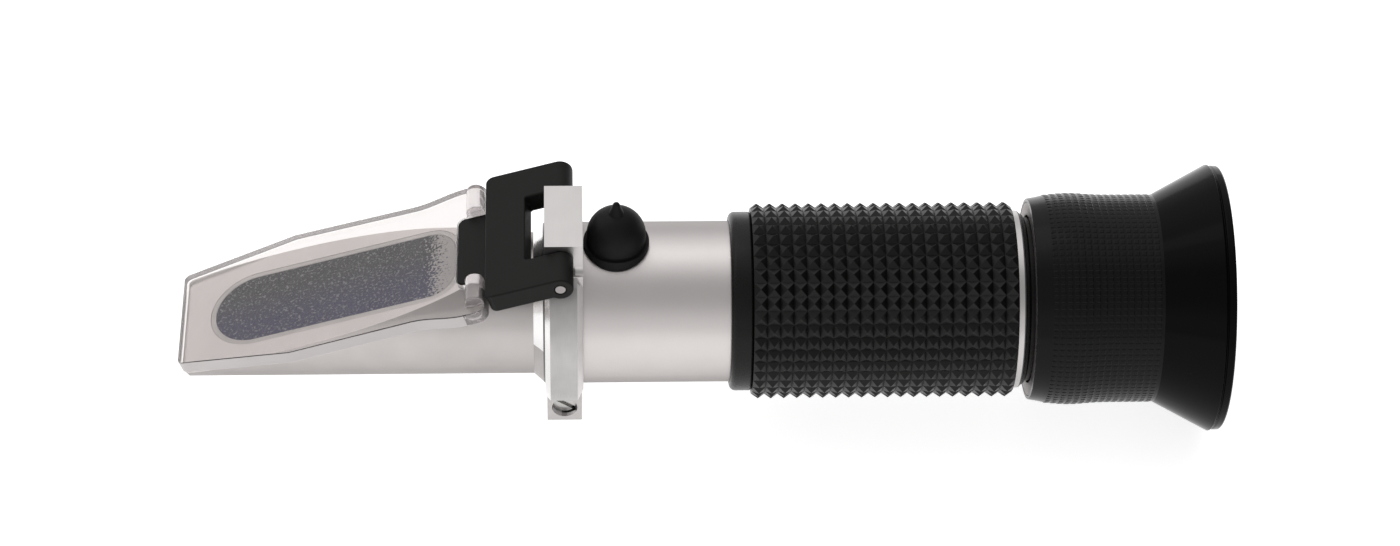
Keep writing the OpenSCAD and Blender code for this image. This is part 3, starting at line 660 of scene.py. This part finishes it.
@dataclass(frozen=True)
class RoundField:
    """A field of small pads in rows along the axis and columns round it.

    Attributes:
        name: Name of the result.
        start: Station of the field's front edge, in metres.
        end: Station of its rear edge.
        rows: How many pads lie along the axis.
        columns: How many lie round it.
        turn: Share of a column by which the first pad stands off the top.
        wobble: Largest share by which a pad is lower or higher than the others.
        seed: Seed of that variation.
    """

    name: str
    start: float
    end: float
    rows: int
    columns: int
    turn: float = 0.5
    wobble: float = 0.02
    seed: int = 4

    SOCKETS: ClassVar[dict[str, str]] = {
        "Geometry": "NodeSocketGeometry",
        "Pad": "NodeSocketObject",
        "Rows": "NodeSocketInt",
        "Columns": "NodeSocketInt",
        "Turn": "NodeSocketFloat",
        "Wobble": "NodeSocketFloat",
        "Seed": "NodeSocketInt",
        "Finish": "NodeSocketMaterial",
    }

    def tree(self) -> bpy.types.NodeTree:
        """Node group that sets pads on rings round the axis.

        Returns:
            A geometry node group with the inputs of SOCKETS. Its geometry is the
            curve that the pads start from.
        """
        group = bpy.data.node_groups.new(self.name, "GeometryNodeTree")
        for name, kind in self.SOCKETS.items():
            group.interface.new_socket(name, in_out="INPUT", socket_type=kind)
        group.interface.new_socket(
            "Geometry", in_out="OUTPUT", socket_type="NodeSocketGeometry"
        )
        tree = NodeTree(group)
        given = tree.made("NodeGroupInput").outputs
        target = tree.made("NodeGroupOutput")
        line = tree.made("GeometryNodeCurveToPoints", mode="COUNT")
        tree.link(given["Geometry"], line.inputs["Curve"])
        tree.link(given["Rows"], line.inputs["Count"])
        copies = tree.made("GeometryNodeDuplicateElements", domain="POINT")
        tree.link(line.outputs["Points"], copies.inputs["Geometry"])
        tree.link(given["Columns"], copies.inputs["Amount"])
        column = tree.calculate("ADD", copies.outputs["Duplicate Index"], given["Turn"])
        share = tree.calculate("DIVIDE", column, given["Columns"])
        angle = tree.calculate("MULTIPLY", share, 2.0 * math.pi)
        place = tree.made("GeometryNodeInputPosition")
        spin = tree.made("ShaderNodeVectorRotate", rotation_type="X_AXIS")
        tree.link(place.outputs["Position"], spin.inputs["Vector"])
        tree.link(angle, spin.inputs["Angle"])
        put = tree.made("GeometryNodeSetPosition")
        tree.link(copies.outputs["Geometry"], put.inputs["Geometry"])
        tree.link(spin.outputs["Vector"], put.inputs["Position"])
        turned = tree.made("ShaderNodeCombineXYZ")
        tree.link(angle, turned.inputs["X"])
        pad = tree.made("GeometryNodeObjectInfo", transform_space="ORIGINAL")
        tree.link(given["Pad"], pad.inputs["Object"])
        vary = tree.made("FunctionNodeRandomValue", data_type="FLOAT")
        tree.link(tree.calculate("SUBTRACT", 1.0, given["Wobble"]), vary.inputs["Min"])
        tree.link(tree.calculate("ADD", 1.0, given["Wobble"]), vary.inputs["Max"])
        tree.link(given["Seed"], vary.inputs["Seed"])
        size = tree.add("ShaderNodeCombineXYZ", X=1.0, Y=1.0)
        tree.link(vary.outputs["Value"], size.inputs["Z"])
        pads = tree.made("GeometryNodeInstanceOnPoints")
        tree.link(put.outputs["Geometry"], pads.inputs["Points"])
        tree.link(pad.outputs["Geometry"], pads.inputs["Instance"])
        tree.link(turned.outputs["Vector"], pads.inputs["Rotation"])
        tree.link(size.outputs["Vector"], pads.inputs["Scale"])
        real = tree.made("GeometryNodeRealizeInstances")
        tree.link(pads.outputs["Instances"], real.inputs["Geometry"])
        cover = tree.made("GeometryNodeSetMaterial")
        tree.link(real.outputs["Geometry"], cover.inputs["Geometry"])
        tree.link(given["Finish"], cover.inputs["Material"])
        tree.link(cover.outputs["Geometry"], target.inputs["Geometry"])
        return group

    def laid(
        self, pad: bpy.types.Object, radius: Callable[[float], float], finish: Finish
    ) -> bpy.types.Object:
        """Lay the pads out and return them as one mesh.

        Args:
            pad: The pad, standing on the origin along +Z; it is used up.
            radius: Radius of the pads' feet at a station.
            finish: Their surface finish.

        Returns:
            The object with all pads.
        """
        curve = bpy.data.curves.new(f"{self.name}_line", "CURVE")
        curve.dimensions = "3D"
        spline = curve.splines.new("POLY")
        spline.points.add(self.rows - 1)
        for i, point in enumerate(spline.points):
            x = self.start + (self.end - self.start) * (i + 0.5) / self.rows
            point.co = (x, 0.0, radius(x), 1.0)
        carrier = bpy.data.objects.new(f"{self.name}_line", curve)
        bpy.context.scene.collection.objects.link(carrier)
        group = self.tree()
        values = {
            "Pad": pad, "Rows": self.rows, "Columns": self.columns, "Turn": self.turn,
            "Wobble": self.wobble, "Seed": self.seed, "Finish": finish.build(),
        }
        modifier = carrier.modifiers.new(self.name, "NODES")
        modifier.node_group = group
        for item in group.interface.items_tree:
            if item.in_out == "INPUT" and item.name in values:
                modifier[item.identifier] = values[item.name]
        carrier.update_tag()
        bpy.context.view_layer.update()
        seen = carrier.evaluated_get(bpy.context.evaluated_depsgraph_get())
        mesh = bpy.data.meshes.new_from_object(seen)
        carrier.modifiers.clear()
        bpy.data.objects.remove(carrier)
        bpy.data.objects.remove(pad)
        piece = link_mesh(mesh, self.name)
        LOG.info("%s: %d pads", self.name, self.rows * self.columns)
        return piece


def stud(name: str, length: float, width: float, height: float, sunk: float,
         top: float, round_mm: float) -> bpy.types.Object:
    """A four-sided pad or pyramid that stands on the origin along +Z.

    Args:
        name: Its name.
        length: Length of its foot along X.
        width: Width of its foot along Y.
        height: Height above the foot.
        sunk: Depth of the straight root below the foot.
        top: Share of the foot's size that the flat top keeps.
        round_mm: Width of the rounding on its edges, in millimetres.

    Returns:
        The pad as a closed mesh with applied rounding.
    """
    levels = ((-sunk, 1.0), (0.0, 1.0), (height, top))
    mesh = bpy.data.meshes.new(name)
    with editing(mesh) as bm:
        rings = [
            [bm.verts.new((x * length * s / 2, y * width * s / 2, z)) for x, y in CORNERS]
            for z, s in levels
        ]
        bm.faces.new(reversed(rings[0]))
        bm.faces.new(rings[-1])
        for low, high in zip(rings, rings[1:]):
            for k in range(4):
                bm.faces.new((low[k], low[(k + 1) % 4], high[(k + 1) % 4], high[k]))
        worn = [e for e in bm.edges if any(v.co.z > height / 2 for v in e.verts)]
        bmesh.ops.bevel(
            bm, geom=worn, offset=round_mm * MM, segments=2, profile=0.5,
            affect="EDGES", clamp_overlap=True,
        )
        bmesh.ops.recalc_face_normals(bm, faces=bm.faces)
        for face in bm.faces:
            face.smooth = False
    return link_mesh(mesh, name)


def merged(name: str, *parts: bpy.types.Object) -> bpy.types.Object:
    """Join several closed parts of one material into one piece."""
    mesh = bpy.data.meshes.new(name)
    with editing(mesh) as bm:
        for part in parts:
            bm.from_mesh(part.data)
            bpy.data.objects.remove(part)
    return link_mesh(mesh, name)


@dataclass(frozen=True)
class PrismEnd:
    """The slanted box, its glass prism and the sealing bead.

    Attributes:
        edge_mm: Rounding of the box's edges.
        level: Least upward part of the normal of the faced side.
        cone_slope: Least forward part of the normal of the cone.
        cone_mm: Length of the cone in front of the tube.
        line_mm: Width of the dark line where it meets the tube.
        bright_to: Angle round the cone, in the camera's eyes, where painted highlight turns to
            painted shade.
    """

    edge_mm: float = 0.12
    level: float = 0.9
    cone_slope: float = 0.35
    cone_mm: float = 2.0
    line_mm: float = 0.28
    bright_to: float = math.radians(-8.0)

    def build(self) -> None:
        """Dress the pieces of the prism end."""
        # The box's sides wear the darker metal that stands in for shade.
        box = refined("prism_box", Body.ROOT, BOX_IN_PAINTED_SHADE, self.edge_mm)
        tube_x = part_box("main_tube")[0][0]
        cone_x = tube_x - self.cone_mm * MM
        line_x = tube_x - self.line_mm * MM

        def on_cone(face: bpy.types.MeshPolygon) -> bool:
            """Whether a face lies on the cone between box and tube."""
            return face.normal.x < -self.cone_slope and cone_x < face.center.x < tube_x

        def bright(face: bpy.types.MeshPolygon) -> bool:
            """Whether a face of the cone is turned to the light."""
            return math.atan2(-face.normal.z, -face.normal.y) < self.bright_to

        scored(box, line_x)
        face_finish(box, FACED, lambda f: f.normal.x < 0.0 and f.normal.z > self.level)
        # Painted light on the cone: its upper side bright as highlight, its lower side dark as
        # shade.
        face_finish(box, POLISH_AND_HIGHLIGHT, lambda f: on_cone(f) and bright(f))
        face_finish(box, CONE_SHADE, lambda f: on_cone(f) and not bright(f))
        face_finish(box, SHADOW_LINE, lambda f: on_cone(f) and f.center.x > line_x)
        refined("main_prism", Body.ROOT, MEASURING_FACE, bevel_mm=0.1)
        refined("prism_seal", Body.ROOT, SEAL, bevel_mm=0.08)


@dataclass(frozen=True)
class HingeCover:
    """The hinged bracket and its clear plate.

    Attributes:
        bracket_edge_mm: Rounding of the bracket's edges.
        plate_edge_mm: Rounding of the plate's edges.
        segments: Steps of both roundings.
        slope: Slope of the closed plate.
        flat: Least part of a normal along the plate's own that counts as its face.
        ridge_mm: Length of the ear ridges at the hinge end.
        near_normal: Y of a normal below which a wall is on the near side.
        near_mm: Y below which a wall is on the near side.
    """

    bracket_edge_mm: float = 0.3
    plate_edge_mm: float = 0.25
    segments: int = 3
    slope: float = math.radians(18.0)
    flat: float = 0.97
    ridge_mm: float = 4.0
    near_normal: float = -0.2
    near_mm: float = -8.0

    def build(self) -> None:
        """Dress the pieces that swing on the hinge."""
        refined("hinge_bracket", Body.COVER, BRACKET, self.bracket_edge_mm, self.segments)
        plate = refined(
            "daylight_plate", Body.COVER, PLATE, self.plate_edge_mm, self.segments
        )
        upward = Vector((-math.sin(self.slope), 0.0, math.cos(self.slope)))
        along = Vector((math.cos(self.slope), 0.0, math.sin(self.slope)))
        hinge_end = max(v.co.dot(along) for v in plate.data.vertices)
        ridges = hinge_end - self.ridge_mm * MM
        near_y = self.near_mm * MM
        face_finish(plate, FROSTED, lambda f: abs(f.normal.dot(upward)) < self.flat)
        face_finish(plate, RIDGE, lambda f: f.center.dot(along) >= ridges)
        # The near walls are painted darker than the far walls as shade.
        face_finish(
            plate, PLATE_EDGE_SHADE,
            lambda f: f.center.dot(along) < ridges and f.normal.y < self.near_normal
            and f.center.y < near_y,
        )


@dataclass(frozen=True)
class ClampRing:
    """The clamp ring with its hinge block, lug, screw and hinge pin.

    Attributes:
        edge_mm: Rounding of the ring's edges.
        block_foot: Distance from the middle line at which block and lug start.
        round_r: Radius beyond which a face is on the ring's round outside.
        straight: Largest X of a normal that points straight outwards.
        front: X of a normal below which a face is on the front chamfer.
        rear: X of a normal above which a face is on the rear bevel.
        face_on: X of a normal from which a face is an end face.
    """

    edge_mm: float = 0.1
    block_foot: float = 12.6 * MM
    round_r: float = 13.0 * MM
    straight: float = 0.1
    front: float = -0.2
    rear: float = 0.3
    face_on: float = 0.95

    def build(self) -> None:
        """Dress the clamp ring's pieces."""
        ring = refined("clamp_ring", Body.ROOT, RING, self.edge_mm)
        foot = self.block_foot
        # Painted highlight: the front chamfer in bright polished metal and the rear bevel in a
        # pale colour.
        face_finish(
            ring, POLISH_AND_HIGHLIGHT,
            lambda f: -self.face_on < f.normal.x < self.front and f.center.z < foot,
        )
        face_finish(
            ring, BEVEL,
            lambda f: self.rear < f.normal.x < self.face_on and f.center.z < foot,
        )
        face_finish(
            ring, BRUSHED,
            lambda f: abs(f.normal.x) < self.straight and -foot < f.center.z < foot
            and math.hypot(f.center.y, f.center.z) > self.round_r,
        )
        refined("clamp_screw", Body.ROOT, STEEL, bevel_mm=0.08)
        refined("hinge_pin", Body.ROOT, PIN, bevel_mm=0.12)


@dataclass(frozen=True)
class CalibrationStation:
    """The boss, screw and clip of the zero adjustment, and the cap over them."""

    edge_mm: float = 0.1

    def build(self) -> None:
        """Dress the pieces of the zero adjustment."""
        refined("calibration_boss", Body.ROOT, RING, self.edge_mm)
        refined("calibration_screw", Body.ADJUSTER, BRASS, bevel_mm=0.06)
        refined("screw_clip", Body.ADJUSTER, STEEL, bevel_mm=0.05)
        refined("calibration_cap", Body.CAP, CAP, bevel_mm=0.2, segments=3)


@dataclass(frozen=True)
class BodyTube:
    """The satin tube with what it holds: guide, objective, baffle and reticle."""

    def build(self) -> None:
        """Dress the tube and the pieces inside it."""
        refined("main_tube", Body.ROOT, SATIN, bevel_mm=0.1)
        for node in ("carrier_guide", "guide_cover", "baffle_tube", "reticle_holder"):
            refined(node, Body.ROOT, ANODISED, bevel_mm=0.08)
        refined("reticle_ring", Body.ROOT, BRASS, bevel_mm=0.08)
        refined("reticle_glass", Body.ROOT, LENS, bevel_mm=0.05)
        refined("objective_carrier", Body.CARRIER, ANODISED, bevel_mm=0.08)
        refined("objective_ring", Body.CARRIER, BRASS, bevel_mm=0.06)
        refined("objective_lens", Body.CARRIER, LENS, bevel_mm=0.04)


@dataclass(frozen=True)
class Grip:
    """The studded rubber grip between its collar and the light ring.

    Attributes:
        rows: Rows of studs along the axis.
        columns: Studs round it.
        foot: Radius of the corners of the studs' feet.
        tip: Height of the worn studs.
        edge_mm: Rounding of their edges.
        bore: Radius of the sleeve's bore.
        core_inset: How far the core lies below the studs' feet.
        fill: Share of its place that a stud's foot fills.
        stretch: How much higher a stud is before its tip is rounded.
        root: Depth of its root.
        tip_share: Share of its foot that its tip keeps.
        ring_shade_mm: Width of the end ring's edge towards the eyepiece, painted dark as shade.
    """

    rows: int = 20
    columns: int = 42
    foot: float = 14.9 * MM
    tip: float = 0.70 * MM
    edge_mm: float = 0.16
    bore: float = 12.88 * MM
    core_inset: float = 0.02 * MM
    fill: float = 0.995
    stretch: float = 1.04
    root: float = 0.2 * MM
    tip_share: float = 0.02
    ring_shade_mm: float = 0.36

    def build(self) -> None:
        """Build the studs on a smooth core and dress the rings beside it."""
        low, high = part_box("grip_sleeve")
        start, end = low[0], high[0]
        step = math.pi / self.columns
        flat = self.foot * math.cos(step)
        core_r = flat - self.core_inset
        core = lathed(
            "grip_core",
            [(start, self.bore), (start, core_r), (end, core_r), (end, self.bore)],
        )
        length = (end - start) / self.rows
        width = 2.0 * self.foot * math.tan(step)
        rounds = RoundField("grip_studs", start, end, self.rows, self.columns)
        pad = stud(
            "grip_stud", length * self.fill, width * self.fill, self.tip * self.stretch,
            self.root, self.tip_share, self.edge_mm,
        )
        studs = rounds.laid(pad, lambda x: flat, GRIP)
        sleeve = merged("grip_sleeve_finish", core, studs)
        dressed(sleeve, Body.ROOT, GRIP, "grip_sleeve")
        refined("grip_collar", Body.ROOT, COLLAR, bevel_mm=0.15)
        ring = refined("end_ring", Body.ROOT, RING, bevel_mm=0.12)
        # The end ring's edge towards the eyepiece is painted dark as shade.
        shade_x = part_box("end_ring")[1][0] - self.ring_shade_mm * MM
        scored(ring, shade_x)
        face_finish(ring, RING_EDGE_SHADE, lambda f: f.center.x > shade_x)


@dataclass(frozen=True)
class Eyepiece:
    """The focusing barrel, the eyepiece with its chequered sleeve and the lenses.

    Attributes:
        first_row: Station at which the chequering starts.
        last_row: Station at which it ends.
        rows: Rows of pads along the axis.
        columns: Pads round it.
        pad_share: Share of its place that a pad fills.
        pad_height: Height of a pad.
        pad_root: Depth of its root.
        pad_sunk: How far its foot lies below the sleeve.
        pad_top: Share of its foot that its top keeps.
        pad_round_mm: Rounding of its edges.
        sleeve_mm: Radius of the sleeve.
        sleeve_start_mm: Distance of the sleeve's front end from the origin.
        swell_mm: Height, middle and width of the sleeve's swell.
        nose_mm: Depth and width of its rounded front end.
        flare_gap: Distance from the chequering to the smooth flare.
        cup_sharp: Angle from which the cup's edges stay sharp, in degrees.
        cup_edge_mm: Rounding of those edges.
    """

    first_row: float = -28.2 * MM
    last_row: float = -11.0 * MM
    rows: int = 16
    columns: int = 98
    pad_share: float = 0.78
    pad_height: float = 0.07 * MM
    pad_root: float = 0.12 * MM
    pad_sunk: float = 0.02 * MM
    pad_top: float = 0.75
    pad_round_mm: float = 0.05
    sleeve_mm: float = 16.6
    sleeve_start_mm: float = 30.6
    swell_mm: tuple[float, float, float] = (0.3, 6.6, 3.2)
    nose_mm: tuple[float, float] = (0.5, 1.8)
    flare_gap: float = 0.3 * MM
    cup_sharp: float = 25.0
    cup_edge_mm: float = 0.12

    def sleeve_radius(self, x: float) -> float:
        """Radius of the rubber sleeve at a station."""
        d = x / MM + self.sleeve_start_mm
        height, middle, width = self.swell_mm
        swell = height * math.exp(-(((d - middle) / width) ** 2))
        depth, reach = self.nose_mm
        nose = depth * math.exp(-((d / reach) ** 2))
        return (self.sleeve_mm + swell - nose) * MM

    def build(self) -> None:
        """Dress the eyepiece's pieces and lay the chequering on its sleeve."""
        refined("focus_barrel", Body.ROOT, COLLAR, bevel_mm=0.12)
        refined("eyepiece_barrel", Body.EYEPIECE, SATIN, bevel_mm=0.15)
        cup = own_mesh("eyecup", "eyecup_finish")
        smooth_by_angle(cup, self.cup_sharp)
        bevel_edges(cup, self.cup_edge_mm)
        dressed(cup, Body.EYEPIECE, EYECUP, "eyecup")
        flare_x = self.last_row + self.flare_gap
        face_finish(cup, FLARE, lambda f: f.center.x > flare_x)
        field_of_pads = RoundField(
            "sleeve_pads", self.first_row, self.last_row, self.rows, self.columns,
            wobble=0.0,
        )
        pitch = (self.last_row - self.first_row) / self.rows
        width = 2.0 * math.pi * self.sleeve_mm * MM / self.columns
        pad = stud(
            "sleeve_pad", pitch * self.pad_share, width * self.pad_share,
            self.pad_height, self.pad_root, self.pad_top, self.pad_round_mm,
        )
        pads = field_of_pads.laid(
            pad, lambda x: self.sleeve_radius(x) - self.pad_sunk, EYECUP
        )
        dressed(pads, Body.EYEPIECE, EYECUP)
        refined("lens_cell", Body.OPTICS, ANODISED, bevel_mm=0.08)
        refined("lens_spacer", Body.OPTICS, ANODISED, bevel_mm=0.06)
        refined("lens_ring", Body.OPTICS, BRASS, bevel_mm=0.06)
        refined("field_lens", Body.OPTICS, LENS, bevel_mm=0.04)
        refined("eye_lens", Body.OPTICS, LENS, bevel_mm=0.04)


@dataclass(frozen=True)
class Panel:
    """One soft light: its place, what it is aimed at, its size and its power."""

    place: tuple[float, float, float]
    aim: tuple[float, float, float]
    size: tuple[float, float]
    watts: float


@dataclass(frozen=True)
class Studio:
    """The camera, the pale floor and the soft light.

    Attributes:
        eye: Place of the camera.
        aim: The point that it looks at.
        roll: Its turn round the line of sight.
        lens_mm: Its focal length.
        sensor_mm: Width of its sensor.
        nearest: Nearest distance that it sees.
        floor_z: Height of the floor.
        floor_reach: Distance from the middle to the floor's sides.
        floor_grey: Share of the light that the floor gives back.
        floor_glow: Brightness that it has of its own.
        floor_roughness: Its roughness.
        tent: Brightness of the tent by angle round the axis, from the top, in degrees.
        fall: Direction along the axis at which the tent starts and stops to darken
            towards the eyepiece, and the two shares of its brightness.
        panels: The soft lights.
    """

    eye: tuple[float, float, float] = (-0.1042, -0.4639, 0.4639)
    aim: tuple[float, float, float] = (-0.083064, 0.0, 0.006351)
    roll: float = 0.0247
    lens_mm: float = 105.55
    sensor_mm: float = 36.0
    nearest: float = 0.01
    floor_z: float = -0.0219
    floor_reach: float = 3.0
    floor_grey: float = 0.70
    floor_glow: float = 0.80
    floor_roughness: float = 0.9
    tent: tuple[tuple[float, float], ...] = (
        (-180.0, 0.60), (-100.0, 0.60), (-75.0, 0.80), (-50.0, 1.15), (-12.0, 1.15),
        (18.0, 0.55), (45.0, 0.57), (76.0, 1.00), (100.0, 0.80), (180.0, 0.60),
    )
    fall: tuple[float, float, float, float] = (0.15, 0.95, 1.0, 0.12)
    panels: tuple[Panel, ...] = (
        Panel((-0.30, 0.30, 0.70), (-0.08, 0.0, 0.0), (0.6, 0.4), 0.5),
    )

    def build(self) -> None:
        """Set up the camera, the floor and the light."""
        self.set_camera()
        self.lay_floor()
        self.light_tent()
        for i, panel in enumerate(self.panels):
            self.hang(panel, i)
        scene = bpy.context.scene
        scene.view_settings.view_transform = "Standard"
        scene.view_settings.look = "None"

    def set_camera(self) -> None:
        """Put the camera where the photograph was taken from."""
        eye, aim = Vector(self.eye), Vector(self.aim)
        ahead = (aim - eye).normalized()
        right = ahead.cross(Vector((0.0, 0.0, 1.0))).normalized()
        up = right.cross(ahead)
        c, s = math.cos(self.roll), math.sin(self.roll)
        axis_x = right * c + up * s
        axis_y = up * c - right * s
        data = bpy.data.cameras.new("view")
        data.sensor_fit = "HORIZONTAL"
        data.sensor_width = self.sensor_mm
        data.lens = self.lens_mm
        data.clip_start = self.nearest
        camera = bpy.data.objects.new("view", data)
        turn = Matrix((axis_x, axis_y, -ahead)).transposed().to_4x4()
        camera.matrix_world = Matrix.Translation(eye) @ turn
        bpy.context.scene.collection.objects.link(camera)
        bpy.context.scene.camera = camera

    def lay_floor(self) -> None:
        """Lay the plain pale floor."""
        mesh = bpy.data.meshes.new("floor")
        reach = self.floor_reach
        corners = [(x * reach, y * reach, self.floor_z) for x, y in CORNERS]
        mesh.from_pydata(corners, [], [(0, 1, 2, 3)])
        floor = link_mesh(mesh, "floor")
        mesh.materials.append(painted("pale floor", self.paint_floor))

    def paint_floor(self, tree: NodeTree) -> None:
        """Paint the floor's tree."""
        grey = self.floor_grey
        paint = tree.add(
            "ShaderNodeBsdfPrincipled",
            Base_Color=(grey, grey, grey, 1.0),
            Roughness=self.floor_roughness,
            Specular_IOR_Level=0.0,
            Emission_Color=(1.0, 1.0, 1.0, 1.0),
            Emission_Strength=self.floor_glow,
        )
        tree.surface(paint)

    def light_tent(self) -> None:
        """Light everything from a pale tent whose brightness turns round the axis."""
        world = bpy.data.worlds.new("tent")
        bpy.context.scene.world = world
        tree = NodeTree.of(world)
        apart = tree.apart(tree.made("ShaderNodeTexCoord").outputs["Generated"])
        back = tree.calculate("MULTIPLY", apart.outputs["Y"], -1.0)
        angle = tree.calculate("ARCTAN2", back, apart.outputs["Z"])
        turn = tree.ranged(angle, (-math.pi, math.pi), (0.0, 1.0))
        ramp = tree.made("ShaderNodeValToRGB")
        ramp.color_ramp.interpolation = "EASE"
        stops = ramp.color_ramp.elements
        while len(stops) > 1:
            stops.remove(stops[-1])
        peak = max(level for _, level in self.tent)
        for i, (degrees, level) in enumerate(self.tent):
            at = (degrees + 180.0) / 360.0
            stop = stops[0] if i == 0 else stops.new(at)
            stop.position = at
            stop.color = (level / peak, level / peak, level / peak, 1.0)
        tree.link(turn.outputs["Result"], ramp.inputs["Fac"])
        along = tree.ranged(apart.outputs["X"], self.fall[:2], self.fall[2:])
        along.interpolation_type = "SMOOTHSTEP"
        sky = tree.made("ShaderNodeBackground")
        strength = tree.calculate("MULTIPLY", along.outputs["Result"], peak)
        tree.link(strength, sky.inputs["Strength"])
        tree.link(ramp.outputs["Color"], sky.inputs["Color"])
        out = tree.made("ShaderNodeOutputWorld")
        tree.link(sky.outputs["Background"], out.inputs["Surface"])

    @staticmethod
    def hang(panel: Panel, number: int) -> None:
        """Hang one soft light."""
        data = bpy.data.lights.new(f"panel_{number}", "AREA")
        data.shape = "RECTANGLE"
        data.size, data.size_y = panel.size
        data.energy = panel.watts
        light = bpy.data.objects.new(f"panel_{number}", data)
        toward = Vector(panel.aim) - Vector(panel.place)
        light.location = panel.place
        light.rotation_euler = toward.to_track_quat("-Z", "Y").to_euler()
        bpy.context.scene.collection.objects.link(light)


def main() -> None:
    """Build every piece, then the studio."""
    PrismEnd().build()
    HingeCover().build()
    ClampRing().build()
    CalibrationStation().build()
    BodyTube().build()
    Grip().build()
    Eyepiece().build()
    Studio().build()


if __name__ == "__main__":
    main()
